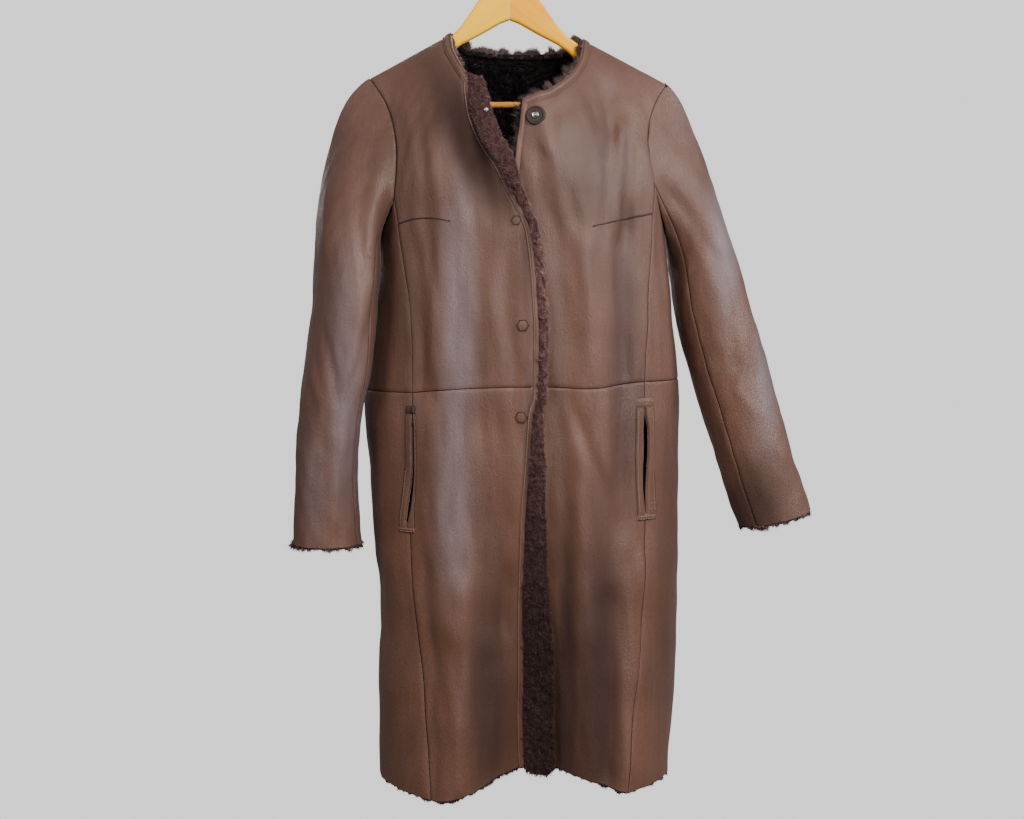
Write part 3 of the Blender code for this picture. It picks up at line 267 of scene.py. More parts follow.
# %% [markdown]
# ## A net of points over the body
# A pattern piece is a patch with four sides. A Coons patch fills it: every inside point is an
# average of the four sides. We lay one net over the whole body, and each leather piece is a
# rectangle of it. The lines of the net crowd together beside a seam, because that is where
# the leather turns in sharply, and stay apart where it is smooth.

# %% Lines of the net
EDGE_LINES = (0.0, 0.04, 0.10, 0.19, 0.34)  # how the lines crowd beside a seam


def lines(start, stop, each):
    """Places from start to stop, each a share of one pattern step, crowded at both ends."""
    middle = np.linspace(start, stop, int(round((stop - start) * each)) + 1)
    middle = middle[(middle > start + 0.45) & (middle < stop - 0.45)]
    near = np.array(EDGE_LINES)
    return np.concatenate([start + near, middle, (stop - near)[::-1]])


ARM_ROWS, NECK_ROWS, UPPER_ROWS, ALL_ROWS = 5, 4, 11, 21
V_UPPER = np.unique(np.round(np.concatenate([lines(0, 4, 7), lines(4, 5, 7), lines(5, 11, 7)]), 6))
V_LOWER = lines(UPPER_ROWS, ALL_ROWS, 6)
U_BAND = np.array([0, 0.06, 0.13, 0.20, 0.26, 0.34, 0.45, 0.56, 0.66, 0.72, 0.77, 0.83, 0.91, 1.0])
SIDE_COLUMNS, BACK_COLUMNS, NECK_FROM, NECK_TO = 4, 18, 6, 12
U_FRONT = lines(1, 7, 8)
U_SIDE = lines(0, SIDE_COLUMNS, 6)
U_BACK = lines(0, BACK_COLUMNS, 6)
DOWN_UPPER, DOWN_LOWER = V_UPPER / UPPER_ROWS, (V_LOWER - UPPER_ROWS) / (ALL_ROWS - UPPER_ROWS)


def coons(left, right, top, bottom, v, u):
    """Points over a patch with sides left and right (down it) and top and bottom (across)."""
    v, u = v[:, None, None], u[None, :, None]
    sides = mix(left[:, None], right[:, None], u) + mix(top[None], bottom[None], v)
    corners = mix(mix(top[0], top[-1], u), mix(bottom[0], bottom[-1], u), v)
    return sides - corners


def spots(xz, surface):
    """Points in the front view, set on a surface of the body."""
    return np.stack([xz[..., 0], surface(xz[..., 0], xz[..., 1]), xz[..., 1]], axis=-1)


def seam_down(x_of, z):
    return np.stack([x_of(z), z], axis=-1)


def front_net(side):
    """The front from its free edge to the princess seam: upper rows, lower rows, columns."""
    inward = SIGN[side] * BAND_WIDTH
    edge_at, princess_at, v = edge_x[side], princess_x[side], V_UPPER
    u = (U_FRONT - 1) / 6
    # the edge line and the band's seam, from the neck down
    neck, share = (v < NECK_ROWS)[:, None], part_way(v, 0, NECK_ROWS)
    below = part_way(v, NECK_ROWS, UPPER_ROWS)
    waist_edge, neck_foot = waist_z(edge_at(WAIST_Z) + inward), NECK_SEAM[side][-1]
    band_seam = seam_down(edge_at, mix(neck_foot[1], waist_edge, below)) + (inward, 0)
    miss = neck_foot[0] - edge_at(neck_foot[1]) - inward
    band_seam[:, 0] += miss * np.clip(NECK_ROWS + 1 - v, 0, 1)
    band_seam = np.where(neck, along(NECK_SEAM[side], share), band_seam)
    edge = seam_down(edge_at, mix(NECK_EDGE[side][-1, 1], waist_edge, below))
    edge = np.where(neck, along(NECK_EDGE[side], share), edge)
    # the armhole and the princess seam
    z = mix(ARMHOLE[side][-1, 1], waist_z(princess_at(WAIST_Z)), part_way(v, ARM_ROWS, UPPER_ROWS))
    far = np.where((v < ARM_ROWS)[:, None], along(ARMHOLE[side], part_way(v, 0, ARM_ROWS)),
                   seam_down(princess_at, z))
    top = mix(*SHOULDER[side], u[:, None])
    waist = mix(band_seam[-1, 0], far[-1, 0], u)
    waist = np.stack([waist, waist_z(waist)], axis=-1)
    upper = coons(band_seam, far, top, waist, DOWN_UPPER, u)
    # the lower front
    t = DOWN_LOWER
    low_edge = seam_down(edge_at, mix(edge[-1, 1], hem_z(edge_at(EDGE_FOOT_Z)), t))
    low_seam = low_edge + (inward, 0)
    low_far = seam_down(princess_at, mix(waist[-1, 1], hem_z(princess_at(SEAM_FOOT_Z)), t))
    low_seam[0], low_far[0] = waist[0], waist[-1]
    hem = mix(low_seam[-1, 0], low_far[-1, 0], u)
    hem = np.stack([hem, hem_z(hem)], axis=-1)
    low_seam[-1], low_far[-1] = hem[0], hem[-1]
    lower = coons(low_seam, low_far, waist, hem, t, u)
    surface = front_y if side == "right" else lapped_y
    b = U_BAND[None, :, None]
    patches = {"upper": upper, "lower": lower,
               "band_upper": mix(edge[:, None], band_seam[:, None], b),
               "band_lower": mix(low_edge[:, None], low_seam[:, None], b)}
    return {name: spots(xz, surface) for name, xz in patches.items()}


def back_net():
    """The back from the right side seam to the left one."""
    (right_neck, right_tip), (left_neck, left_tip) = SHOULDER["right"], SHOULDER["left"]
    u, v = U_BACK, V_UPPER
    right_shoulder = mix(right_tip, right_neck, part_way(u, 0, NECK_FROM)[:, None])
    left_shoulder = mix(left_neck, left_tip, part_way(u, NECK_TO, BACK_COLUMNS)[:, None])
    top = np.where((u > NECK_TO)[:, None], left_shoulder,
                   along(BACK_NECK, part_way(u, NECK_FROM, NECK_TO)))
    top = np.where((u < NECK_FROM)[:, None], right_shoulder, top)
    sides, low_sides = {}, {}
    for side in SIGN:
        shift = SIGN[side] * BACK_SEAM_IN
        arm = along(ARMHOLE[side], part_way(v, 0, ARM_ROWS))
        arm[:, 0] += shift * UNDERARM_IN * part_way(v, 0, ARM_ROWS) ** 2
        waist_x = princess_x[side](WAIST_Z) + shift
        foot = np.array([waist_x, waist_z(waist_x)])
        start = ARMHOLE[side][-1] + (shift * UNDERARM_IN, 0)
        down = mix(start, foot, part_way(v, ARM_ROWS, UPPER_ROWS)[:, None])
        sides[side] = np.where((v < ARM_ROWS)[:, None], arm, down)
        at_hem = np.array([waist_x - shift * UNDERARM_IN, BACK_HEM])
        low_sides[side] = mix(foot, at_hem, DOWN_LOWER[:, None])
    share = u / BACK_COLUMNS
    waist = mix(sides["right"][-1], sides["left"][-1], share[:, None])
    waist[:, 1] = waist_z(waist[:, 0])
    hem = mix(low_sides["right"][-1], low_sides["left"][-1], share[:, None])
    upper = coons(sides["right"], sides["left"], top, waist, DOWN_UPPER, share)
    lower = coons(low_sides["right"], low_sides["left"], waist, hem, DOWN_LOWER, share)
    return {"upper": spots(upper, back_y), "lower": spots(lower, back_y)}


def ring_point(side, angle, z):
    """A place on the plain ring of the body; angle 0 is centre front, 180 centre back."""
    turn = np.radians(angle)
    across, ahead = (np.abs(wave(turn)) ** (2 / ROUND) for wave in (np.sin, np.cos))
    middle, half = girth(z)
    y = np.where(angle < 90, -depth_front(z), depth_back(z)) * ahead
    return np.stack([middle + SIGN[side] * half * across, y, z], axis=-1)


def ring_angle(points, behind):
    angle = np.degrees(np.arcsin(off_middle(points[:, 0], points[:, 2]) ** (ROUND / 2)))
    return 180 - angle if behind else angle


def side_net(side, front, back, v):
    """The panel between a front's princess seam and the back's seam, from front to back."""
    f = (U_SIDE / SIDE_COLUMNS)[None, :]
    start, stop = ring_angle(front, False), ring_angle(back, True)
    drop = UNDERARM_DROP[side] * (1 - part_way(v, ARM_ROWS, UPPER_ROWS))
    z = mix(front[:, 2:], back[:, 2:], f) - drop[:, None] * np.sin(np.pi * f) ** 0.8
    points = ring_point(side, mix(start[:, None], stop[:, None], f), z)
    miss_front = front - ring_point(side, start, front[:, 2])
    miss_back = back - ring_point(side, stop, back[:, 2])
    f = f[..., None]
    return points + miss_front[:, None] * (1 - f) ** 2 + miss_back[:, None] * f ** 2


net = {"front_" + s: front_net(s) for s in SIGN}
net["back"] = back_net()
ARM_FOOT = int(np.argmin(abs(V_UPPER - ARM_ROWS)))
BACK_EDGE = {"right": 0, "left": -1}  # the back's column at each side seam
for side in SIGN:
    front, back = net["front_" + side], net["back"]
    net["side_" + side] = {
        half: side_net(side, front[half][row:, -1], back[half][row:, BACK_EDGE[side]], v[row:])
        for half, row, v in (("upper", ARM_FOOT, V_UPPER), ("lower", 0, V_LOWER))}
print("net:", sum(half.size // 3 for part in net.values() for half in part.values()), "points")

# %% [markdown]
# ## Sleeves in the net
# A sleeve is a tube of oval sections. Its top end has to land exactly on the armhole, so the
# cap is a Hermite curve: it leaves each point of the armhole in a given direction and arrives
# in line with the tube. The hanging arm bends a little at the elbow, which the sections show.

# %% Sleeve net
# x, y, z, half width, half depth, lean, twist of each section
SLEEVE = {
    "right": ((-213, -44, -470, 47, 59, 3, 34), (-216, -52, -530, 46.5, 58, 5, 36),
              (-223.5, -56, -600, 47, 56, 7, 32), (-234.5, -58, -668, 43, 54, 6, 20),
              (-240.7, -60, -738, 41.2, 51, 3, 8), (-241.8, -62, -792, 42.5, 48, 1, 4),
              (-241, -64, -846, 45.5, 44, 0, 0)),
    "left": ((259.5, 12, -477, 44, 60, 17, 16), (271, 6, -532, 49, 59, 19, 14),
             (288, -2, -596, 51, 57, 20, 10), (302.5, -10, -645, 51, 55, 20, 6),
             (320, -20, -705, 49.5, 52, 19, 4), (334.5, -30, -756, 49.2, 48, 17, 2),
             (354.5, -40, -816, 49.2, 43, 13, 0))}
SLEEVE_UNITS = (1000,) * 5 + (1, 1)  # lean and twist are in degrees
CAP_TOP = both((170, -90), (95, -90))
CAP_UNDER = both((22, -42), (10, -45))
SEAM_ANGLE = {"right": (158, 250), "left": (128, 228)}  # front seam, back seam
CAP_STEPS, SLEEVE_STEPS = 4, 11
V_SLEEVE = lines(0, SLEEVE_STEPS, 8)


def section_points(values, side, angle):
    """Points round sections of a sleeve; angle 0 is outermost, 90 is in front."""
    x, y, z, half_width, half_depth, lean, twist = values
    lean, turn = np.radians(lean), np.radians(angle)
    across = half_width * np.cos(turn)
    ahead = half_depth * np.sin(turn) + SIGN[side] * np.tan(np.radians(twist)) * across
    return np.stack(np.broadcast_arrays(x + SIGN[side] * np.cos(lean) * across, y - ahead,
                                        z + np.sin(lean) * across), axis=-1)


def sleeve_net(side):
    """Points from armhole to cuff, round the sleeve, and the two seam columns."""
    front, back = net["front_" + side]["upper"], net["back"]["upper"]
    under = net["side_" + side]["upper"][0, 1:-1]
    loop = np.concatenate([front[:ARM_FOOT + 1, -1], under, back[ARM_FOOT::-1, BACK_EDGE[side]]])
    first, last = SEAM_ANGLE[side]
    down = V_UPPER[:ARM_FOOT + 1] / ARM_ROWS
    angle = np.concatenate([first * down, mix(first, last, U_SIDE[1:-1] / SIDE_COLUMNS),
                            mix(360, last, down)[::-1]])
    sections = np.array(SLEEVE[side]) / SLEEVE_UNITS
    number = np.arange(len(sections))
    place = part_way(V_SLEEVE, CAP_STEPS, SLEEVE_STEPS) * number[-1]
    values = [smooth(number, column)(place)[:, None] for column in sections.T]
    tube = section_points(values, side, angle[None, :])
    top, second = (section_points(one[:, None, None], side, angle[None, :])[0]
                   for one in sections[:2])
    height = ((1 + np.cos(np.radians(angle))) / 2)[:, None]
    leave = mix(CAP_UNDER[side], CAP_TOP[side], height)
    leave = np.stack([leave[:, 0] * SIGN[side], 0 * leave[:, 0], leave[:, 1]], axis=-1)
    span = np.linalg.norm(top - loop, axis=1, keepdims=True)
    arrive = (second - top) / np.linalg.norm(second - top, axis=1, keepdims=True) * span
    cap = hermite(part_way(V_SLEEVE, 0, CAP_STEPS)[:, None, None], loop, leave, top, arrive)
    rows = np.where((V_SLEEVE < CAP_STEPS)[:, None, None], cap, tube)
    return rows, angle, (ARM_FOOT, ARM_FOOT + len(U_SIDE) - 1)


sleeves = {s: sleeve_net(s) for s in SIGN}
print("sleeve net:", sleeves["right"][0].shape[:2])

# %% [markdown]
# ## Creases
# The large form is right but too even. A hanging coat has soft uneven rolls: a ridge that
# catches the light and the trough beside it. Each line of the table is one of them, from its
# top to its foot, with a height, a width and the side of the coat. The same kind of folds goes
# on the back and sides, which also have to look worn and hung. `unevenness` adds what no
# table can hold: a sum of slow waves in many directions.

# %% Crease tables
# x and z of the top, x and z of the foot, rise, width
FRONT_CREASES = metres((
    (-96, -300, -96, -640, 6.5, 22), (-96, -645, -82, -960, 7, 24), (-40, -320, -40, -640, -5, 18),
    (-32, -645, -16, -960, -5, 20), (-70, -252, -8, -425, -9, 24), (-108, -300, -96, -520, -3, 14),
    (-120, -450, -112, -640, -4, 12), (4, -880, -8, -1160, -6, 18), (-62, -880, -70, -1170, 6, 18),
    (-30, -980, -26, -1165, -4, 14), (-108, -860, -96, -1160, -3.5, 10),
    (-10, -470, 10, -640, -2, 12), (129, -310, 121, -450, -3.5, 9), (157, -310, 148, -450, -3, 8),
    (143, -300, 136, -440, 3, 9), (142, -440, 150, -640, -5, 11), (102, -440, 110, -640, 4, 17),
    (68, -300, 60, -640, 2, 22), (116, -645, 124, -760, 5.5, 15), (143, -650, 146, -830, -5, 11),
    (78, -655, 118, -760, -3, 9), (133, -900, 128, -1160, -8, 17),
    (172, -860, 170, -1160, 5.5, 16), (90, -700, 80, -1140, 3, 20), (40, -290, 66, -420, 2.5, 12),
    (20, -300, 90, -440, -3.5, 14)))
BACK_CREASES = metres((
    (-110, -290, -85, -560, -5, 20), (130, -290, 110, -560, -5, 20), (10, -260, 0, -600, 4, 30),
    (-60, -500, -40, -650, 4, 16), (80, -480, 60, -650, -4, 16), (-120, -700, -130, -1160, 7, 24),
    (-20, -680, -30, -1160, -6, 20), (55, -720, 60, -1160, 7, 22), (150, -700, 165, -1160, 6, 22),
    (110, -860, 112, -1160, -5, 14)))
CREASE_FADE = 0.045
# start and end in steps along the sleeve, start and end angle, rise in mm, width in degrees
SLEEVE_CREASES = {
    "right": ((0.6, 5.5, 75, 150, -4.5, 17), (0.4, 4.5, 40, 62, 3, 20),
              (4.5, 8, 170, 110, -3.5, 13), (5.5, 7.6, 60, 118, -2.5, 9), (6.2, 7.4, 30, 80, 2, 9),
              (7.5, 10.8, 120, 110, 3, 16), (1, 6, 300, 285, -4.5, 20),
              (6, 10.5, 250, 262, -3.5, 16)),
    "left": ((0.6, 5.2, 112, 62, -3.5, 17), (0.5, 4.5, 60, 30, 1.8, 20),
             (5.2, 7, 60, 100, -1.6, 8), (5.8, 7.2, 50, 80, 1.4, 7), (6.4, 7.8, 70, 120, -1.8, 8),
             (7.2, 8.4, 100, 70, 1.2, 8), (8.2, 10.8, 78, 84, -1.4, 14),
             (1, 6, 290, 300, -4.5, 20), (6, 10.5, 262, 250, -3.5, 16))}


def unevenness(points, size, seed, squeeze=(1.0, 1.0, 1.0)):
    """A soft random height between about -1 and 1, from waves in many directions."""
    chance = np.random.RandomState(seed)
    total, count = 0.0, 14
    for _ in range(count):
        way = chance.normal(size=3)
        way = way / np.linalg.norm(way) * np.array(squeeze) * chance.uniform(0.6, 1.6)
        total = total + np.sin(points @ way * (2 * np.pi / size) + chance.uniform(0, 2 * np.pi))
    return total * math.sqrt(2 / count)


def crease_rise(points):
    """How far the body's leather stands out from its plain form at each point."""
    x, y, z = np.moveaxis(points, -1, 0)
    total = 0.0
    for face, table in ((-y, FRONT_CREASES), (y, BACK_CREASES)):
        shown = smoothstep(face / 0.05)
        for x_top, z_top, x_foot, z_foot, rise, width in table:
            share = (z_top - z) / (z_top - z_foot)
            reach = CREASE_FADE / (z_top - z_foot)
            fade = smoothstep(share / reach + 0.5) * smoothstep((1 - share) / reach + 0.5)
            line = np.exp(-((x - mix(x_top, x_foot, np.clip(share, 0, 1))) / width) ** 2)
            total = total + rise * fade * line * shown
    down = smoothstep((-0.21 - z) / 0.08)
    return total + down * (0.0008 * unevenness(points, 0.075, 11, (1, 1, 0.45))
                           + 0.0005 * unevenness(points, 0.028, 12, (1, 1, 0.35)))


def sleeve_rise(points, along_it, angle, side):
    total, s = 0.0, along_it[:, None]
    for start, stop, angle_from, angle_to, rise, width in SLEEVE_CREASES[side]:
        share = (s - start) / (stop - start)
        fade = smoothstep(share * 3.5) * smoothstep((1 - share) * 3.5)
        middle = mix(angle_from, angle_to, np.clip(share, 0, 1))
        turn = (angle[None, :] - middle + 180) % 360 - 180
        total = total + rise / 1000 * fade * np.exp(-(turn / width) ** 2)
    return total + smoothstep(s) * (0.0004 * unevenness(points, 0.060, 21, (1, 1, 0.6))
                                    + 0.0003 * unevenness(points, 0.024, 22, (1, 1, 0.5)))


print("creases:", len(FRONT_CREASES) + len(BACK_CREASES), "on the body,",
      sum(map(len, SLEEVE_CREASES.values())), "on the sleeves")

# %% [markdown]
# ## Materials from nodes
# A finish is colour, gloss and small relief together. `add` puts a node in the tree and wires
# it in one line: an input given as a socket becomes a link, anything else a plain value. All
# patterns read Object coordinates, in metres, so a scale of 1000 means a pattern about a
# millimetre across. Values that are the same all over stay on the shader's own sockets.


# %% Node helpers
def add(tree, kind, settings=None, **props):
    node = tree.nodes.new("ShaderNode" + kind)
    for name, value in props.items():
        setattr(node, name, value)
    for name, value in (settings or {}).items():
        if isinstance(value, bpy.types.NodeSocket):
            tree.links.new(value, node.inputs[name])
        else:
            node.inputs[name].default_value = value
    return node


def new_finish(name, roughness=0.5, **fixed):
    """A material, its nodes, its Principled shader and its Object coordinates."""
    made = bpy.data.materials.new(name)
    made.use_nodes = True
    shader = made.node_tree.nodes["Principled BSDF"]
    shader.inputs["Roughness"].default_value = roughness
    for key, value in fixed.items():
        shader.inputs[key.replace("_", " ")].default_value = value
    return made, made.node_tree, shader, add(made.node_tree, "TexCoord").outputs["Object"]


def ramp(tree, height, *stops):
    """Colours along a height: stops are (place, colour)."""
    node = add(tree, "ValToRGB", {"Fac": height})
    bar = node.color_ramp.elements
    while len(bar) < len(stops):
        bar.new(0.5)
    for element, (place, colour) in zip(bar, stops):
        element.position = place
        element.color = (*colour, 1)
    return node.outputs["Color"]


def noise(tree, place, scale, detail=3.0, rough=0.55, stretch=(1, 1, 1)):
    at = add(tree, "Mapping", {"Vector": place, "Scale": stretch}).outputs["Vector"]
    return add(tree, "TexNoise", {"Vector": at, "Scale": scale, "Detail": detail,
                                  "Roughness": rough}).outputs["Fac"]


def bump(tree, height, distance, strength=1.0, under=None):
    settings = {"Height": height, "Distance": distance, "Strength": strength}
    if under is not None:
        settings["Normal"] = under
    return add(tree, "Bump", settings).outputs["Normal"]


def mixed(tree, share, first, second, way="MIX"):
    node = add(tree, "Mix", data_type="RGBA", blend_type=way)
    for name, value in (("Factor", share), ("A", first), ("B", second)):
        socket = next(s for s in node.inputs if s.name == name and s.enabled)
        if isinstance(value, bpy.types.NodeSocket):
            tree.links.new(value, socket)
        else:
            socket.default_value = value if name == "Factor" else (*value, 1)
    return next(s for s in node.outputs if s.enabled)


def fit(tree, value, low, high, out_low, out_high):
    return add(tree, "MapRange", {"Value": value, "From Min": low, "From Max": high,
                                  "To Min": out_low, "To Max": out_high}).outputs["Result"]


def layer(tree, pattern, low, high, share, over, under):
    """One colour over another where a pattern is high."""
    return mixed(tree, fit(tree, pattern, low, high, 0.0, share), under, over)


def cells(tree, place, scale):
    return add(tree, "TexVoronoi", {"Vector": place, "Scale": scale, "Randomness": 1.0},
               feature="F1").outputs["Distance"]


def speckled(name, rough, scale, dark, light, detail=3.0, stops=(0.3, 0.7)):
    """A plain finish of two colours that mingle."""
    made, tree, shader, place = new_finish(name, rough)
    colour = ramp(tree, noise(tree, place, scale, detail), (stops[0], dark), (stops[1], light))
    tree.links.new(colour, shader.inputs["Base Color"])
    return made


# %% [markdown]
# ## The leather
# Dyed sheepskin is never one brown. The dye takes unevenly in large soft clouds, the colour is
# warmer toward the hem and cooler toward the shoulders, and handling polishes it. On top of that
# there is a fine pebbled grain, and short streaks that run down the skin. The sheen is low and a
# little cool. The lit folds that look grey and mauve are painted highlights, and the shaded folds
# that look dark red-brown are painted shade, in soft zones over the front and the sleeves.

# %% Leather finish
LEATHER_WARM = (0.152, 0.069, 0.041)
LEATHER_COOL = (0.134, 0.071, 0.055)
LEATHER_DEEP = (0.068, 0.030, 0.019)
COOL_FROM, COOL_TO = -0.85, -0.25  # the skins are cooler toward the shoulders
GRAIN, PEBBLE = 1150, 430


# Painted light on the leather of the front and the sleeves: each zone is a soft ellipse of painted
# highlight (kind 1), painted shade in the deep colour (kind 0) or painted shadow that is also made
# matte (kind 2).
HIGHLIGHT_ZONE, SHADOW_ZONE = 1, 2  # 0 is a zone in the deep colour
# x and z of the middle, half width and half height, share, kind, tilt
LIGHT_AND_SHADE_ZONES = (
    (-64, -550, 35, 240, 0.85, 1), (-73, -790, 36, 170, 0.7, 1), (-208, -640, 32, 250, 0.75, 1),
    (-250, -770, 28, 120, 0.5, 1), (285, -430, 30, 160, 0.9, 1), (338, -630, 28, 120, 0.7, 1),
    (107, -350, 90, 150, 0.75, 0), (-160, -520, 30, 200, 0.7, 0), (-26, -1060, 44, 170, 0.95, 0),
    (-130, -760, 45, 120, 0.35, 0), (-52, -335, 24, 75, 0.55, 0), (205, -900, 20, 280, 0.65, 0),
    (325, -795, 60, 100, 0.72, 2), (-52, -322, 46, 165, 1, 2, 0.44),
    (40, -1030, 130, 270, 0.55, 0), (-128, -550, 24, 210, 0.5, 2), (-28, -980, 28, 260, 0.45, 2),
    (22, -455, 12, 100, 0.6, 2), (26, -760, 11, 170, 0.75, 2), (62, -650, 17, 240, 0.6, 0),
    (149, -610, 30, 320, 1, 0), (75, -980, 20, 280, 0.74, 2), (120, -1010, 34, 330, 0.8, 2))
# The cool colour of the painted highlights, and the colour of the painted shadow.
PAINTED_HIGHLIGHT = (0.175, 0.132, 0.138)
PAINTED_SHADOW = (0.022, 0.006, 0.003)


def painted_light_and_shade(tree, place, colour, deep, tone):
    """The front's colour with painted highlights and painted shade in soft zones, and how far each
    point lies in painted shadow, which is also made matte.
    """
    apart = add(tree, "SeparateXYZ", {"Vector": place})
    front = fit(tree, apart.outputs["Y"], 0.0, 0.04, 1.0, 0.0)
    flat = add(tree, "CombineXYZ", {"X": apart.outputs["X"], "Y": apart.outputs["Z"]})
    shadow_and_matte = 0.0
    for *box, share, kind, tilt in (row if len(row) == 7 else (*row, 0) for row in LIGHT_AND_SHADE_ZONES):
        x, z, wide, high = metres(box)
        scaled = add(tree, "Mapping", {
            "Vector": flat.outputs["Vector"], "Location": (x, z, 0), "Rotation": (0, 0, tilt),
            "Scale": (wide, high, 1)}, vector_type="TEXTURE").outputs["Vector"]
        away = add(tree, "VectorMath", {0: scaled}, operation="LENGTH").outputs["Value"]
        here = add(tree, "MapRange", {
            "Value": away, "From Min": 0.15, "From Max": 1.1, "To Min": share, "To Max": 0.0},
            interpolation_type="SMOOTHSTEP").outputs["Result"]
        here = add(tree, "Math", {0: here, 1: front}, operation="MULTIPLY").outputs["Value"]
        if kind == SHADOW_ZONE:
            shadow_and_matte = add(tree, "Math", {0: here, 1: shadow_and_matte}, operation="MAXIMUM").outputs["Value"]
        else:
            zone = [c * tone for c in PAINTED_HIGHLIGHT] if kind == HIGHLIGHT_ZONE else deep
            colour = mixed(tree, here, colour, zone)
    return colour, shadow_and_matte


def leather_finish(name, tone=1.0, rough=0.45):
    made, tree, shader, place = new_finish(
        name, Sheen_Weight=0.06, Sheen_Roughness=0.45, Sheen_Tint=(0.80, 0.74, 0.82, 1), IOR=1.44)
    warm, cool, deep = ([c * tone for c in dye]
                        for dye in (LEATHER_WARM, LEATHER_COOL, LEATHER_DEEP))
    height = add(tree, "SeparateXYZ", {"Vector": place}).outputs["Z"]
    clouds = noise(tree, place, 9.0, 5, 0.55, (1, 1, 0.7))
    base = layer(tree, height, COOL_FROM, COOL_TO, 0.85, cool, warm)
    colour = mixed(tree, fit(tree, clouds, 0.30, 0.62, 0.55, 0.0), base, deep)
    # Painted highlights and painted shade in soft zones.
    colour, shadow_and_matte = painted_light_and_shade(tree, place, colour, deep, tone)
    streaks = noise(tree, place, 120, 4, 0.6, (1, 1, 0.09))
    colour = layer(tree, streaks, 0.40, 0.70, 0.25, deep, colour)
    blotches = noise(tree, place, 34, 5, 0.62, (1, 1, 0.6))
    colour = layer(tree, blotches, 0.54, 0.76, 0.22, [min(c * 1.4, 1) for c in cool], colour)
    grain = cells(tree, place, GRAIN)
    colour = layer(tree, grain, 0.45, 0.80, 0.35, deep, colour)
    # Painted shadow over the colour where the shadow zones lie.
    tree.links.new(mixed(tree, shadow_and_matte, colour, PAINTED_SHADOW), shader.inputs["Base Color"])
    relief = bump(tree, noise(tree, place, 300, 4, 0.6, (1, 1, 0.5)), 0.0008, 0.7)  # wrinkles
    relief = bump(tree, streaks, 0.0011, 0.25, relief)
    relief = bump(tree, cells(tree, place, PEBBLE), 0.0006, 0.30, relief)
    relief = bump(tree, grain, 0.00035, 0.55, relief)
    tree.links.new(relief, shader.inputs["Normal"])
    gloss = fit(tree, blotches, 0.30, 0.75, rough + 0.07, rough - 0.07)
    # The painted shadow zones are made rougher too.
    gloss = add(tree, "Math", {0: shadow_and_matte, 1: 0.4, 2: gloss}, operation="MULTIPLY_ADD")
    tree.links.new(gloss.outputs["Value"], shader.inputs["Roughness"])
    return made


LOW_Z = -1.2


def fur_finish(name, root, tip, rough=0.85, tones=()):
    """Fur: a dark root that lightens to its tips. tones: heights on the coat and how light it is
    there, painted light and shade.
    """
    made, tree, shader, place = new_finish(
        name, rough, Sheen_Weight=0.12, Sheen_Roughness=0.4, Sheen_Tint=(0.75, 0.55, 0.52, 1),
        IOR=1.3)
    height = add(tree, "Attribute", attribute_name="tip").outputs["Fac"]
    clumps = noise(tree, place, 160, 4, 0.6)
    half_way = [mix(a, b, 0.65) for a, b in zip(root, tip)]
    colour = ramp(tree, height, (0.02, root), (0.45, half_way), (1.0, tip))
    colour = layer(tree, clumps, 0.38, 0.66, 0.65, [c * 0.5 for c in root], colour)
    locks = noise(tree, place, 300, 3, 0.6, (1, 1, 0.12))
    colour = layer(tree, locks, 0.42, 0.62, 0.45, [c * 0.4 for c in root], colour)
    if tones:
        z = fit(tree, add(tree, "SeparateXYZ", {"Vector": place}).outputs["Z"], LOW_Z, 0, 0.0, 1.0)
        shade = ramp(tree, z, *[(1 - height / LOW_Z, (light,) * 3) for height, light in tones])
        colour = mixed(tree, 1.0, colour, shade, "MULTIPLY")
    tree.links.new(colour, shader.inputs["Base Color"])
    strands = noise(tree, place, 900, 3, 0.6, (1, 1, 0.4))
    relief = bump(tree, clumps, 0.004, 0.8)
    tree.links.new(bump(tree, strands, 0.0012, 0.8, relief), shader.inputs["Normal"])
    return made


leather = leather_finish("leather")
leather_band = leather_finish("leather_binding", tone=1.06, rough=0.48)
leather_seam = leather_finish("leather_seam", tone=0.30, rough=0.60)
leather_welt = leather_finish("leather_welt", tone=0.95, rough=0.47)
cut_edge = speckled("leather_cut_edge", 0.7, 260, (0.20, 0.13, 0.11), (0.40, 0.30, 0.27))
fleece = fur_finish("fleece", (0.020, 0.012, 0.013), (0.045, 0.030, 0.032), rough=0.95)
# A much darker copy of the fur: painted shade for the fur seen inside the back.
fur_shade = fur_finish("fur_shade", (0.004, 0.003, 0.004), (0.019, 0.013, 0.016))
fur_neck = fur_finish("fur_neck", (0.022, 0.014, 0.016), (0.281, 0.200, 0.181))
# Painted light and shade down the front fur: a height on the coat and how light the fur is there.
FRONT_FUR_PAINTED_LIGHT = ((-1.12, 0.27), (-1.00, 0.20), (-0.80, 0.34), (-0.66, 0.58), (-0.52, 0.90),
               (-0.44, 0.78), (-0.38, 0.56), (-0.26, 0.44))
fur_front = fur_finish("fur_front", (0.150, 0.068, 0.060), (0.600, 0.320, 0.290), tones=FRONT_FUR_PAINTED_LIGHT)
fur_hem = fur_finish("fur_hem", (0.037, 0.016, 0.013), (0.170, 0.085, 0.068))
fur_cuff = fur_finish("fur_cuff", (0.044, 0.022, 0.021), (0.311, 0.178, 0.159))
thread = speckled("thread", 0.6, 900, (0.13, 0.075, 0.055), (0.25, 0.16, 0.12))
stitch_dark = speckled("thread_dark", 0.6, 900, (0.040, 0.022, 0.017), (0.085, 0.050, 0.040))
print("finishes:", len(bpy.data.materials))

# %% [markdown]
# ## From net to leather
# Each piece is a rectangle of the net, made as a bmesh grid whose points are then put in
# place. Two things make it leather and not card. Beside a seam the surface turns in, so the
# outside shows a soft roll with a fine dark line in it. And it has a wall: the grid is
# extruded inward, and the new faces inside take the fleece finish.

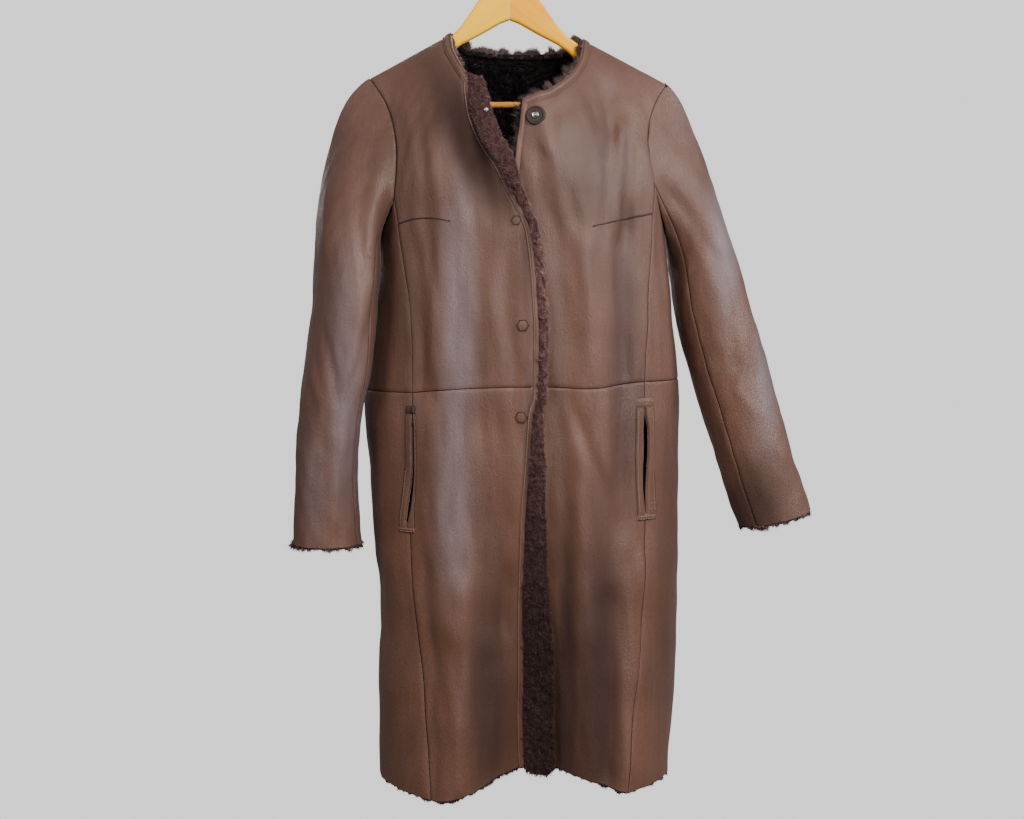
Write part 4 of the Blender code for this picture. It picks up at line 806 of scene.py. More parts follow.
# %% Walls
WALL = 0.0040
SEAM = 0.00045
ROLL, ROLL_WIDTH = 0.0009, 0.0017
GIVE = 0.014  # how far the points beside a drawn-in rim make room
WOOL, WOOL_SIZE = 0.0008, 0.012
SHARP = math.radians(48)


def unit(vectors):
    return vectors / np.maximum(np.linalg.norm(vectors, axis=-1, keepdims=True), 1e-12)


def facing(points, flip=1):
    """Outward directions of a net: rows run down, columns run clockwise seen from above."""
    return unit(np.cross(np.gradient(points, axis=1), np.gradient(points, axis=0))) * flip


def from_edges(points, edges):
    """Distance of each point from the nearest of the named edges, along the net."""
    down = np.linalg.norm(np.diff(points, axis=0), axis=-1)
    across = np.linalg.norm(np.diff(points, axis=1), axis=-1)
    gone_down = np.concatenate([np.zeros((1, points.shape[1])), np.cumsum(down, axis=0)])
    gone_across = np.concatenate([np.zeros((len(points), 1)), np.cumsum(across, axis=1)], axis=1)
    reach = {"top": gone_down, "bottom": gone_down[-1:] - gone_down,
             "first": gone_across, "last": gone_across[:, -1:] - gone_across}
    return np.minimum.reduce([reach[name] for name in edges])


def pulled_in(points, gaps):
    """The same net with its rim drawn in. gaps: edge name and distance, or one per point."""
    result = points.copy()
    for name, row, other in (("top", 0, 1), ("bottom", -1, -2)):
        step = unit(points[other] - points[row])
        result[row] += step * np.reshape(gaps.get(name, SEAM), (-1, 1))
    for name, col, other in (("first", 0, 1), ("last", -1, -2)):
        step = unit(points[:, other] - points[:, col])
        gap = np.broadcast_to(np.reshape(gaps.get(name, SEAM), (-1, 1)), (len(points), 1))
        away = np.linalg.norm(points - points[:, col][:, None], axis=-1)
        share = np.where(gap > 2 * SEAM, np.clip(1 - away / GIVE, 0, 1), away < 1e-9)
        result += step[:, None] * (gap * share)[..., None]
    return result


def grid_mesh(name, outer, inner, materials, closed=False, rubbed=False):
    """A closed wall between two nets. materials: outside, inside, and edge or rubbed rim."""
    rows, cols = outer.shape[:2]
    bm = bmesh.new()
    bmesh.ops.create_grid(bm, x_segments=cols - 1, y_segments=rows - 1, size=1)
    depth = bm.verts.layers.float_vector.new("inward")
    for vert, place, step in zip(bm.verts, outer.reshape(-1, 3), (inner - outer).reshape(-1, 3)):
        vert.co, vert[depth] = place, step
    if closed:
        bmesh.ops.remove_doubles(bm, verts=bm.verts, dist=1e-6)
    bm.verts.index_update()
    pale = {f for f in bm.faces if rubbed and max(v.index % cols for v in f.verts) == 1}
    outside = set(bm.faces) - pale
    result = bmesh.ops.extrude_face_region(bm, geom=bm.faces[:])
    moved = {g for g in result["geom"] if isinstance(g, bmesh.types.BMVert)}
    for vert in moved:
        vert.co += vert[depth]
    for face in bm.faces:
        if face in outside:
            face.material_index = 0
        else:
            face.material_index = 1 if all(v in moved for v in face.verts) else 2
    bmesh.ops.recalc_face_normals(bm, faces=bm.faces[:])
    return piece_from(name, bm, *materials)


def placed(name, data):
    made = bpy.data.objects.new(name, data)
    bpy.context.scene.collection.objects.link(made)
    return made


def new_object(name, bm, *materials):
    """Turn a bmesh into an object with these finishes."""
    mesh = bpy.data.meshes.new(name)
    bm.to_mesh(mesh)
    bm.free()
    for item in materials:
        mesh.materials.append(item)
    return placed(name, mesh)


def piece_from(name, bm, *materials):
    """A smooth-shaded piece of the coat. A plain solid's name is taken, so it adds to it."""
    made = new_object(name + "_finished" * (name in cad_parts), bm, *materials)
    made.data.shade_smooth()
    made.data.set_sharp_from_angle(angle=SHARP)
    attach(made, "root")
    return made


def cut_of(points):
    """Width, length and area of a piece before it was creased, as it was cut flat."""
    down = np.linalg.norm(np.diff(points, axis=0), axis=-1).sum(axis=0).max()
    across = np.linalg.norm(np.diff(points, axis=1), axis=-1).sum(axis=1).max()
    a, b = points[1:, 1:] - points[:-1, :-1], points[1:, :-1] - points[:-1, 1:]
    area = np.linalg.norm(np.cross(a, b), axis=-1).sum() / 2
    return (float(across), float(down)), float(min(area, across * down))


cuts = {}
formed = {}  # outer surface and directions of each piece, for what lies on it
plain = {}  # the same without slits and rolls


def leather_piece(name, points, rise, normals, seams, gaps=None):
    rolled = -ROLL * np.exp(-(from_edges(points, seams) / ROLL_WIDTH) ** 2)
    outer = pulled_in(points, gaps or {}) + normals * (rise + rolled)[..., None]
    wool = WOOL * unevenness(points, WOOL_SIZE, 31)
    inner = outer - normals * (WALL + wool)[..., None]
    made = grid_mesh(name, outer, inner, (leather, fleece, fleece))
    cuts[name] = cut_of(points)
    formed[name] = (outer, facing_like(outer, normals))
    plain[name] = points + normals * np.broadcast_to(rise, points.shape[:2])[..., None]
    return made


def facing_like(points, normals):
    """Directions of a creased net, turned the way that its plain normals point."""
    fresh = facing(points)
    return fresh * np.sign((fresh * normals).sum(axis=-1, keepdims=True))


# %% Body normals and rises
def shoulder_upright(side):
    run, fall = SHOULDER[side][1] - SHOULDER[side][0]
    return unit(np.array([-fall, 0, run])) * SIGN[side]


def body_normals(part, half):
    points = net[part][half]
    flip = -1 if part in ("front_left", "side_left") else 1
    result = facing(points, flip)
    if half == "upper" and part.startswith("front"):
        result[0] = shoulder_upright(part.split("_")[1])
    if half == "upper" and part == "back":
        result[0, U_BACK <= NECK_FROM] = shoulder_upright("right")
        result[0, U_BACK >= NECK_TO] = shoulder_upright("left")
    return result


POCKET = {"right": (-0.672, -0.820), "left": (-0.664, -0.804)}
# share down the pocket; middle of the slit, positive toward the front, and half its width, in mm
SLIT_LINE = {
    "right": ((0, 0.6, 0.3), (0.1, 1, 1.4), (0.4, 1, 1.7), (0.6, 0.4, 2.1), (0.78, -1.8, 2.4),
              (0.92, -4.4, 1.7), (1, -5.6, 0.3)),
    "left": ((0, 0.2, 0.3), (0.08, -0.2, 1), (0.22, -1.6, 3.4), (0.42, -2.2, 3.3),
             (0.62, -0.6, 2.6), (0.8, 0.6, 1.9), (0.93, 0.2, 1), (1, 0, 0.3))}
SLIT_MARGIN = 0.0004  # the welts reach this far past the panels' edges


def slit_at(side, share):
    """The slit's middle and half width, from the seam, at shares down the pocket."""
    shares, *columns = np.array(SLIT_LINE[side]).T
    return [smooth(shares, column / 1000)(share) for column in columns]


def slit_gap(points, side, way):
    """Seam gap down a lower panel's edge, opened at the pocket. way: 1 front, -1 rear."""
    high, low = POCKET[side]
    middle, half = slit_at(side, part_way(points[:, 2], high, low))
    inside = (points[:, 2] < high) & (points[:, 2] > low)
    return np.where(inside, np.maximum(SEAM, way * middle + half + SLIT_MARGIN), SEAM)


HALVES = (("upper", ("top", "bottom", "first", "last")), ("lower", ("top", "first", "last")))
leather_objects = {}
for side in SIGN:
    for half, seams in HALVES:
        for part, column, rim, way in (("front_" + side, -1, "last", 1),
                                       ("side_" + side, 0, "first", -1)):
            points = net[part][half]
            gaps = {rim: slit_gap(points[:, column], side, way)} if half == "lower" else {}
            name = part.replace("_", "_%s_" % half)
            leather_objects[name] = leather_piece(name, points, crease_rise(points),
                                                  body_normals(part, half), seams, gaps)
for half, seams in HALVES:
    points, name = net["back"][half], "back_" + half
    leather_objects[name] = leather_piece(name, points, crease_rise(points),
                                          body_normals("back", half), seams)
for name, made in leather_objects.items():
    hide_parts(name)
print("leather pieces:", len(leather_objects))

# %% Sleeves
def tube_facing(side):
    """Outward directions of a sleeve, which has no first or last column."""
    points = sleeves[side][0]
    wrapped = np.concatenate([points[:, -2:-1], points, points[:, 1:2]], axis=1)
    return facing(wrapped, SIGN[side])[:, 1:-1]


for side in SIGN:
    points, angle, (front_seam, back_seam) = sleeves[side]
    directions = tube_facing(side)
    rise = sleeve_rise(points, V_SLEEVE, angle, side)
    rise[0] = crease_rise(points[0])
    count = points.shape[1] - 1
    upper = [n % count for n in range(back_seam, count + front_seam + 1)]
    under = list(range(front_seam, back_seam + 1))
    for part, columns in (("sleeve_upper_", upper), ("sleeve_under_", under)):
        name = part + side
        leather_objects[name] = leather_piece(name, points[:, columns], rise[:, columns],
                                              directions[:, columns], ("top", "first", "last"))
        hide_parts(name)
print("sleeve pieces made; faces so far:",
      sum(len(o.data.polygons) for o in leather_objects.values()))

# %% [markdown]
# ## Tapes behind the seams
# Between two thick walls there is a fine gap, wider where they meet at an angle, and light
# would come through it. A tailor sews a narrow tape over such a seam. So do we, just under the
# face: at the armholes, down the back seams and the sleeves, and later beside the bands.

# %% Seam tapes
TAPE_HALF, TAPE_THICK = 0.0030, 0.0005
TAPE_DEEP, RIM_TAPE_DEEP, BAND_TAPE_DEEP = 0.0024, 0.0018, 0.0009  # under the face


def seam_tape(line, ways, deep=TAPE_DEEP, skin=None):
    """A narrow strip that follows a seam, just under the leather's face."""
    across = unit(np.cross(ways, unit(np.gradient(line, axis=0))))
    steps = (-TAPE_HALF, 0, TAPE_HALF)
    outer = np.stack([line - ways * deep + across * step for step in steps], axis=1)
    name = "tape_%02d" % (len(tapes) + 1)
    tapes.append(grid_mesh(name, outer, outer - ways[:, None] * TAPE_THICK, (skin or fleece,) * 3))


def rim_tape(name, column):
    """A tape along one side of a finished piece."""
    outer, ways = formed[name]
    seam_tape(outer[:, column], ways[:, column], RIM_TAPE_DEEP)


tapes = []
for side in SIGN:
    edge = BACK_EDGE[side]
    body = np.concatenate([body_normals("front_" + side, "upper")[:ARM_FOOT + 1, -1],
                           body_normals("side_" + side, "upper")[0, 1:-1],
                           body_normals("back", "upper")[ARM_FOOT::-1, edge]])
    seam_tape(sleeves[side][0][0], unit(tube_facing(side)[0] + body))
    for name, column in (("back_upper", edge), ("back_lower", edge), ("sleeve_under_" + side, 0),
                         ("sleeve_under_" + side, -1)):
        rim_tape(name, column)
print("tapes:", len(tapes))

# %% [markdown]
# ## Bound edges
# The neck and the front edges are bound with a narrow strip of the same leather, turned over
# the edge and topstitched. The strip is a long narrow grid with a rounded back. It is a little
# lighter than the panels, and its rim is paler still, because a turned edge is rubbed.

# %% Bands of the neck and fronts
BAND_WALL = 0.0030
BAND_ROUND, STITCH_SINK = 0.0010, 0.0009
NECK_STITCHED, FRONT_STITCHED = (0.23, 0.77), (0.77,)
NECK_END = int(np.argmin(abs(V_UPPER - NECK_ROWS)))


def band_piece(name, points, normals, stitched_at):
    crown = BAND_ROUND * (1 - np.abs(2 * U_BAND - 1) ** 3)
    # place across the band, depth and width of each line where it sinks
    sinks = [(line, STITCH_SINK, 0.06) for line in stitched_at]
    for line, deep, width in [(0, 0.0010, 0.10), (1, 0.0008, 0.08)] + sinks:
        crown = crown - deep * np.exp(-((U_BAND - line) / width) ** 2)
    ripple = 0.00025 * unevenness(points, 0.011, 41)
    rise = crown[None, :] + ripple + crease_rise(points)
    outer = pulled_in(points, {}) + normals * rise[..., None]
    made = grid_mesh(name, outer, outer - normals * BAND_WALL, (leather_band, fleece, cut_edge),
                     rubbed="back" not in name)
    cuts[name] = cut_of(points)
    formed[name] = (outer, normals)
    plain[name] = outer
    return made


bands = {}
for side in SIGN:
    upper, lower = net["front_" + side]["band_upper"], net["front_" + side]["band_lower"]
    whole = np.concatenate([upper, lower[1:]])
    normals = facing(whole, -SIGN[side])
    normals[0] = shoulder_upright(side)
    seam, ways = whole[1:-1, -1], normals[1:-1, -1]
    seam_tape(seam + ways * crease_rise(seam)[:, None], ways, BAND_TAPE_DEEP, leather_welt)
    for name, rows, at in (("neck_band_" + side, slice(0, NECK_END + 1), NECK_STITCHED),
                           ("front_band_" + side, slice(NECK_END, None), FRONT_STITCHED)):
        bands[name] = band_piece(name, whole[rows], normals[rows], at)

NEAR = 0.001
inside_neck = (U_BACK > NECK_FROM - NEAR) & (U_BACK < NECK_TO + NEAR)
low = net["back"]["upper"][0, inside_neck]
BACK_NECK_CENTRE = 0.010
lean = unit(np.stack([(BACK_NECK_CENTRE - low[:, 0]) * 4, np.full(len(low), -0.25),
                      np.ones(len(low))], axis=-1))
high = low + lean * BACK_BAND_WIDTH
columns = U_BACK[inside_neck]
for side, gone in (("right", columns - NECK_FROM), ("left", NECK_TO - columns)):
    high = mix(net["front_" + side]["band_upper"][0, 0], high, smoothstep(gone)[:, None])
back_band = mix(high[:, None], low[:, None], U_BAND[None, :, None])
back_facing = facing(back_band)
back_facing = back_facing * np.sign(back_facing[..., 1:2])
bands["neck_band_back"] = band_piece("neck_band_back", back_band, back_facing, NECK_STITCHED)
ways = unit(back_facing[:, -1] + body_normals("back", "upper")[0, inside_neck])
seam_tape(low[1:-1], ways[1:-1])
for name, made in bands.items():
    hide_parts(name)
print("bands:", {name: round(cuts[name][0][1], 3) for name in bands})

# %% [markdown]
# ## Finding the skin
# Welts, stitches, darts and snaps lie on the leather, wherever its creases have put it. So we
# make one search tree of the leather before its slits are cut, and drop a straight line on it
# from the front. It answers with the place and the direction that the leather faces there.

# %% A search tree of the leather
from mathutils.bvhtree import BVHTree


def tree_of(nets):
    points, faces = [], []
    for spread in nets:
        start, (rows, cols) = len(points), spread.shape[:2]
        points += [Vector(p) for p in spread.reshape(-1, 3)]
        corner = start + (np.arange(rows - 1)[:, None] * cols + np.arange(cols - 1)).ravel()
        faces += np.stack([corner, corner + 1, corner + cols + 1, corner + cols], axis=1).tolist()
    return BVHTree.FromPolygons(points, faces)


skin = tree_of(plain.values())


START_Y, SAME_LAYER = -1, 0.008  # where a line starts, and how far hits may differ
SIDESTEPS = (0, 0.0009, -0.0009)  # a line may slip through a seam


def land(x, z):
    """The place on the leather straight behind (x, z), and its outward direction."""
    hits = [skin.ray_cast(Vector((x + step, START_Y, z)), Vector((0, 1, 0))) for step in SIDESTEPS]
    hits = [hit for hit in hits if hit[0] is not None]
    if not hits:
        raise ValueError("nothing at %.3f %.3f" % (x, z))
    nearest = min(hit[0].y for hit in hits)
    place, way = next(hit[:2] for hit in hits if hit[0].y < nearest + SAME_LAYER)
    return np.array(place), np.array(way if way.y < 0 else -way)


def land_all(xz):
    """Places and softened directions along a line."""
    places, ways = (np.array(found) for found in zip(*(land(x, z) for x, z in xz)))
    padded = np.concatenate([ways[:1], ways, ways[-1:]])
    return places, unit(padded[:-2] + 2 * padded[1:-1] + padded[2:])


# %% [markdown]
# ## Stitches
# A machine stitch is a short length of thread between two holes. Seen close, it is a small
# bar that dips at both ends. Each one is a cube, stretched and laid along its line, so that
# hundreds of them stay light.

# %% Stitch maker
STITCH = (0.0027, 0.0011, 0.0007)  # length, width, height
STITCH_STEP = 0.0037


def add_block(bm, at, size):
    return bmesh.ops.create_cube(bm, size=1, matrix=at @ Matrix.Diagonal((*size, 1)))


def lay_stitches(bm, places, ways, step=STITCH_STEP, size=STITCH):
    """Stitches along a line of places, which face the given ways."""
    gone = np.append(0, np.cumsum(np.linalg.norm(np.diff(places, axis=0), axis=1)))

    def at(distance, values):
        return np.array([np.interp(distance, gone, column) for column in values.T])

    count = max(int(gone[-1] / step), 1)
    for distance in (np.arange(count) + 0.5) * gone[-1] / count:
        spot, up = at(distance, places), at(distance, ways)
        ahead = at(distance + 0.0005, places) - spot
        if np.linalg.norm(ahead) < 1e-7:
            continue
        ahead = unit(ahead)
        up = unit(up - ahead * (up @ ahead))
        turn = Matrix([ahead, np.cross(up, ahead), up]).transposed().to_4x4()
        add_block(bm, Matrix.Translation(spot + up * size[2] * 0.35) @ turn, size)


def stitch_piece(name, runs, finish):
    bm = bmesh.new()
    for run in runs:
        lay_stitches(bm, *run)
    made = piece_from(name, bm, finish)
    return made


def band_line(name, share):
    """A line down a band, at a share of its width from the free edge."""
    outer, ways = formed[name]
    at = np.interp(share, U_BAND, np.arange(len(U_BAND)))
    column = int(at)
    line = mix(outer[:, column], outer[:, column + 1], at - column)
    return line[1:-1], ways[1:-1, column]


neck_lines = [band_line("neck_band_" + part, share)
              for part in (*SIGN, "back") for share in NECK_STITCHED]
front_lines = [band_line("front_band_" + side, share) for side in SIGN for share in FRONT_STITCHED]
stitched = {"neck": stitch_piece("stitches_neck", neck_lines, stitch_dark),
            "front": stitch_piece("stitches_front", front_lines, thread)}
print("stitch faces:", {n: len(o.data.polygons) for n, o in stitched.items()})

# %% [markdown]
# ## Pockets
# Each pocket opens in the princess seam between two welts, narrow strips that lie on the
# panels and roll in at the slit. The right pocket hangs nearly shut, its slit bending back at
# the foot. The left one gapes. A welt is a grid between two lines, laid on the skin that the
# search tree finds, and given a rounded back and a wall.

# %% Pocket welts
# share down, reach of the front welt and of the rear welt in mm
WELT_REACH = {
    "right": ((0, 4.2, 9.2), (0.5, 4.2, 10), (1, 5.2, 14.6)),
    "left": ((0, 11.8, 11.2), (0.5, 12.4, 12.8), (1, 11.6, 13.4))}
WELT_SHARES = np.array([0, 0.10, 0.28, 0.55, 0.82, 0.94, 1.0])
WELT_HEIGHTS = metres((-1.6, 0.9, 1.7, 1.5, 1.4, 1.2, 0.6))
WELT_STITCHED = 4  # the column that is stitched
DOWN = np.linspace(0, 1, 37)


def pocket_line(side, share, distance):
    """(x, z) at shares down a pocket, at distances from its seam toward the front."""
    high, low = POCKET[side]
    z = mix(high, low, share)
    return np.stack(np.broadcast_arrays(princess_x[side](z) - SIGN[side] * distance, z), axis=-1)


def laid(name, lines_xz, heights, finish):
    """A strip lying on the skin: one (x, z) line for each column, and a height for each point."""
    base, ways = (np.stack(found, axis=1) for found in zip(*(land_all(line) for line in lines_xz)))
    ways = unit(ways.mean(axis=1, keepdims=True))
    heights = np.broadcast_to(heights, base.shape[:2])[..., None]
    outer = base + ways * heights
    inner = base + ways * np.minimum(-LAID_SINK, heights - LAID_THICK)
    made = grid_mesh(name, outer, inner, finish)
    cuts[name] = cut_of(base)
    return made, outer, np.broadcast_to(ways, outer.shape)


LAID_SINK, LAID_THICK, TAB_GAP = 0.0004, 0.0011, 0.0002
OUTLINE_STEPS, OUTLINE_HEIGHTS = metres((1, 0, -0.3)), metres((0.2, 0.5, 0.2))
pocket_parts, pocket_runs, outlines = {}, [], {}
welt_finish = (leather_welt, leather_welt, cut_edge)


def outline(which, side, rim):
    """The dark line round a pocket's frame."""
    name = "outline_%s_%s" % (which, side)
    outlines[side + which] = laid(name, rim, OUTLINE_HEIGHTS, (leather_seam,) * 3)[0]


for side in SIGN:
    shares, *reaches = np.array(WELT_REACH[side]).T
    middle, half = slit_at(side, DOWN)
    for which, reach, sign, phase in (("front", reaches[0], 1, 1), ("rear", reaches[1], -1, 2)):
        start = middle + sign * half
        stop = sign * np.interp(DOWN, shares, reach / 1000)
        waver = 0.0003 * np.sin(DOWN * 17 + phase) * np.sin(np.pi * DOWN)
        lines_xz = [pocket_line(side, DOWN, mix(start, stop + waver, share))
                    for share in WELT_SHARES]
        name = "pocket_welt_%s_%s" % (which, side)
        pocket_parts[name], outer, ways = laid(name, lines_xz, WELT_HEIGHTS, welt_finish)
        shown = DOWN >= (0.45 if side == "right" and which == "rear" else 0)
        if side == "left" or which == "rear":
            pocket_runs.append([part[shown, WELT_STITCHED][1:-1] for part in (outer, ways)])
        outline(which, side, [pocket_line(side, DOWN, stop + sign * step)[shown]
                              for step in OUTLINE_STEPS])

# reach toward the front and the rear, and height, of the tabs that close a pocket's frame
TAB_SPAN = {"top": both((4, -8), (11.8, -11.2)), "bottom": both((5.2, -14.6), (11.6, -13.4))}
TAB_HIGH = {"top": both(9.5, 12), "bottom": both(6.6, 6.6)}
TAB_ROLL = np.array([0.35, 0.85, 1, 1, 1, 0.85, 0.35])[:, None]
across = np.linspace(0, 1, 13)
crown = np.sin(np.pi * np.clip(across, 0.04, 0.96)) ** 0.25 * 0.0015
for side in SIGN:
    for which, out, level, stitched_rows in (("top", 1, POCKET[side][0], (2,)),
                                             ("bottom", -1, POCKET[side][1], (2, 5))):
        tall = TAB_HIGH[which][side]
        reach = SIGN[side] * mix(*TAB_SPAN[which][side], across)
        foot = level + out * TAB_GAP - (0 if which == "top" else tall)
        rows = np.linspace(foot + tall, foot, len(TAB_ROLL))
        x_line = princess_x[side](level) - reach
        lines_xz = [np.stack([x + 0 * rows, rows], axis=-1) for x in x_line]
        heights, finish = TAB_ROLL * crown, welt_finish
        if which == "top" and side == "right":  # pulled up into a hard little bar tack
            heights = heights * (1.7 + 0.5 * np.sin(across * 9))
            finish, stitched_rows = (leather_seam,) * 3, ()
        name = "pocket_tab_%s_%s" % (which, side)
        pocket_parts[name], outer, ways = laid(name, lines_xz, heights, finish)
        edge = foot + tall if which == "top" else foot
        x_line = princess_x[side](edge) - reach
        outline(which, side, [np.stack([x_line, edge + out * step + 0 * x_line], axis=-1)
                              for step in OUTLINE_STEPS])
        pocket_runs += [(outer[row, 1:-1], ways[row, 1:-1]) for row in stitched_rows]
for name, made in pocket_parts.items():
    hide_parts(name)
# the little bar-tacked box at the left pocket's foot
for share in (0.86, 0.90, 0.955):
    places, ways = land_all(pocket_line("left", share, np.linspace(-0.0040, -0.0120, 6)))
    pocket_runs.append((places + ways * 0.0019, ways))
stitched["pockets"] = stitch_piece("stitches_pockets", pocket_runs, thread)
print("pocket pieces:", len(pocket_parts))

# %% [markdown]
# ## Darts
# A bust dart is a wedge of leather folded away and sewn. Outside it shows as one thin raised
# lip from the princess seam toward the point of the bust, with a small knot at its end. The
# lip is a narrow half-round laid along the line, thinner toward the point.

# %% Darts
DART = both(
    ((-142.8, -427.8), (-128.9, -423.8), (-113.2, -421.6), (-93.8, -422.3), (-74.7, -425.9)),
    ((184, -414.7), (166.7, -418.2), (145.6, -422.8), (131.4, -426.1), (117.2, -429.4),
     (105.7, -431.9)))
DART_WIDE, DART_HIGH = 0.0028, 0.0012
darts, profile = {}, np.array([-1, -0.75, -0.3, 0.3, 0.75, 1.0])
share = np.linspace(0, 1, 40)
thin = 1 - 0.45 * share
thin[-2:] = (1.1, 0.6)  # the knot at the end
heights = DART_HIGH * thin[:, None] * np.sqrt(np.maximum(1 - profile ** 2, 0.02))
for side in SIGN:
    line, name = along(DART[side], share), "dart_" + side
    lines_xz = [line - np.stack([0 * thin, thin * DART_WIDE / 2 * place], axis=-1)
                for place in profile]
    darts[name] = laid(name, lines_xz, heights, (leather_seam,) * 3)[0]
print("darts:", sorted(darts))

# %% [markdown]
# ## Fur
# The wool inside is clipped to about a centimetre. Only its ends show, along every open edge,
# as a soft ragged fringe. Hair by hair it would be far too heavy, so a fringe is a lumpy strip
# covered in small tufts. A tuft is a three-sided cone. One is made, then the whole set is
# doubled again and again, and each copy gets its own root, lean and length. Neighbours lean
# alike, because wool clumps. The height up each tuft is kept in an attribute, which the fur
# finish reads to lighten the tips.

# %% Tufts
FIRST_TUFTS = 32
TUFTS = [FIRST_TUFTS * 2 ** n for n in range(11)]  # how many there are after n doublings
fur = {}


def tuft_mesh(roots, ways, lengths, radius):
    """Cones standing on roots, as one mesh. There are as many as 32 can be doubled to."""
    bm = bmesh.new()
    tip = bm.verts.layers.float.new("tip")
    number = bm.verts.layers.int.new("number")
    for n in range(FIRST_TUFTS):
        cone = bmesh.ops.create_cone(bm, cap_ends=True, cap_tris=False, segments=3, radius1=1,
                                     radius2=0, depth=1)
        for vert in cone["verts"]:
            vert[tip], vert[number] = vert.co.z + 0.5, n
    count = FIRST_TUFTS
    while count * 2 <= len(roots):
        copied = bmesh.ops.duplicate(bm, geom=bm.verts[:] + bm.edges[:] + bm.faces[:])
        for item in copied["geom"]:
            if isinstance(item, bmesh.types.BMVert):
                item[number] += count
        count *= 2
    chance = np.random.RandomState(len(roots))
    pick = chance.permutation(len(roots))[:count]
    pick = pick[np.array([v[number] for v in bm.verts])]
    local = np.array([v.co for v in bm.verts])
    aside = unit(np.cross(ways, chance.normal(size=ways.shape)))
    other = np.cross(ways, aside)
    places = (roots[pick] + ways[pick] * (local[:, 2:] + 0.5) * lengths[pick, None]
              + (aside[pick] * local[:, :1] + other[pick] * local[:, 1:2]) * radius)
    for vert, place in zip(bm.verts, places):
        vert.co = place
    bm.verts.layers.int.remove(number)
    mesh = bpy.data.meshes.new("tufts")
    bm.to_mesh(mesh)
    bm.free()
    return mesh


def clumped(points, ways, spread, size=0.011):
    """Directions that lean alike where the roots are close."""
    lean = np.stack([unevenness(points, size, 51 + n) for n in range(3)], axis=-1)
    chance = np.random.RandomState(len(points) + 7)
    return unit(ways + lean * spread + chance.normal(size=points.shape) * spread * 0.45)


def spread_over(surface, ways, count, seed, rows=(0, 1), cols=(0, 1)):
    """Random roots over a net, the net's directions there, and how far down each one is."""
    chance = np.random.RandomState(seed)
    down = chance.uniform(*rows, count) * (surface.shape[0] - 1.001)
    across = chance.uniform(*cols, count) * (surface.shape[1] - 1.001)
    i, j = down.astype(int), across.astype(int)
    r, c = (down - i)[:, None], (across - j)[:, None]

    def at(part):
        upper, lower = (mix(part[n, j], part[n, j + 1], c) for n in (i, i + 1))
        return mix(upper, lower, r)

    return at(surface), unit(at(ways)), down / (surface.shape[0] - 1)


def fur_piece(name, outer, inner, tufts, finish, closed=False):
    """A lumpy strip with its tufts, as one piece that stands for the fur's plain solid."""
    made = grid_mesh(name, outer, inner, (finish,) * 3, closed)
    bm = bmesh.new()
    bm.from_mesh(made.data)
    bm.verts.layers.float.new("tip")
    for each in tufts:
        bm.from_mesh(tuft_mesh(*each))
    bm.to_mesh(made.data)
    bm.free()
    made.data.shade_smooth()
    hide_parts(name)
    fur[name] = made


# %% [markdown]
# ## The fur down the front
# Along the right front the fur has rolled out past the edge. At the neck the whole edge turns
# over like a small lapel, so the strip is wide and its pile is brushed flat and catches the
# light. Below, it narrows to the waist and spreads again to the hem, rougher. Its colour has
# painted light and shade down its length: lightest just below the lapel, darkest near the hem.

# %% Fur of the right front
FRONT_ROWS, FRONT_COLUMNS = 190, 11
HEM_AT_EDGE = float(hem_z(0.02))
FUR_TOP, FUR_FOOT = -0.2335, HEM_AT_EDGE - 0.010
FUR_TURNED = 0.14  # the lapel ends this far down, as a share
z = np.linspace(FUR_TOP, FUR_FOOT, FRONT_ROWS)
lapel = smooth((-0.2290, -0.2335, -0.2400, -0.2600), (-0.0580, -0.0552, -0.0515, -0.0495))
left = np.where(z > -0.2600, lapel(z), edge_x["right"](z))[:, None] - 0.0018
width = fringe_width(z)[:, None] + 0.0018
c = np.linspace(0, 1, FRONT_COLUMNS)[None, :]
z = z[:, None] - 0.0085 * c * np.exp((z[:, None] - FUR_TOP) / 0.010)
rounded = np.clip(1 - (z - FUR_FOOT) / 0.04, 0, 1) ** 2  # the foot's corners are lifted
z = z + 0.012 * abs(2 * c - 0.9) ** 3 * rounded
x = left + width * c
surface = np.stack([x, front_y(x, np.maximum(z, HEM_AT_EDGE)), z], axis=-1)
lump = 0.0007 * unevenness(surface, 0.016, 61) + 0.0003 * unevenness(surface, 0.007, 62)
plump = np.minimum(0.0042, width * 0.30) * np.sin(np.pi * mix(0.12, 0.88, c))
surface[..., 1] += 0.0012 - plump + 0.0030 * (1 - c) ** 4 - lump
ways = facing(surface, -1)
ways = ways * -np.sign(ways[..., 1:2])
ways[..., 0] += (c - 0.45) * 0.9
ways[..., 2] -= 0.45
ways = unit(ways)
roots, lie, down = spread_over(surface, ways, TUFTS[9], 71)
ragged = 0.75 + 0.35 * unevenness(roots, 0.010, 72)
ragged = ragged * np.random.RandomState(73).uniform(0.7, 1.3, len(roots))
lengths = np.clip(np.where(down < FUR_TURNED, 0.0028, 0.0042) * ragged, 0.0015, 0.0070)
lengths = lengths * np.where(down > 0.985, 0.7, 1.0)
leaning = clumped(roots, lie, np.where(down < FUR_TURNED, 0.25, 0.55)[:, None])
chance = np.random.RandomState(76)
tufts = [(roots, leaning, lengths, 0.00062)]
# along the free rim, then at the foot: doublings, seed, rows, columns, own way, lean, spread,
# shortest, longest and radius
for number, seed, rows, cols, own, lean, spread, short, long, radius in (
        (6, 74, (0, 1), (0.9, 1), 1, (0.9, 0.2, -0.2), 0.5, 0.0020, 0.0052, 0.00055),
        (4, 75, (0.985, 1), (0, 1), 0.4, (0, 0, -1.0), 0.4, 0.003, 0.008, 0.0006)):
    roots, lie, _ = spread_over(surface, ways, TUFTS[number], seed, rows, cols)
    leaning = clumped(roots, unit(lie * own + lean), spread)
    tufts.append((roots, leaning, chance.uniform(short, long, len(roots)), radius))
fur_piece("fur_front_right", surface, surface + (0, 0.0050, 0), tufts, fur_front)
print("front fur faces:", len(fur["fur_front_right"].data.polygons))


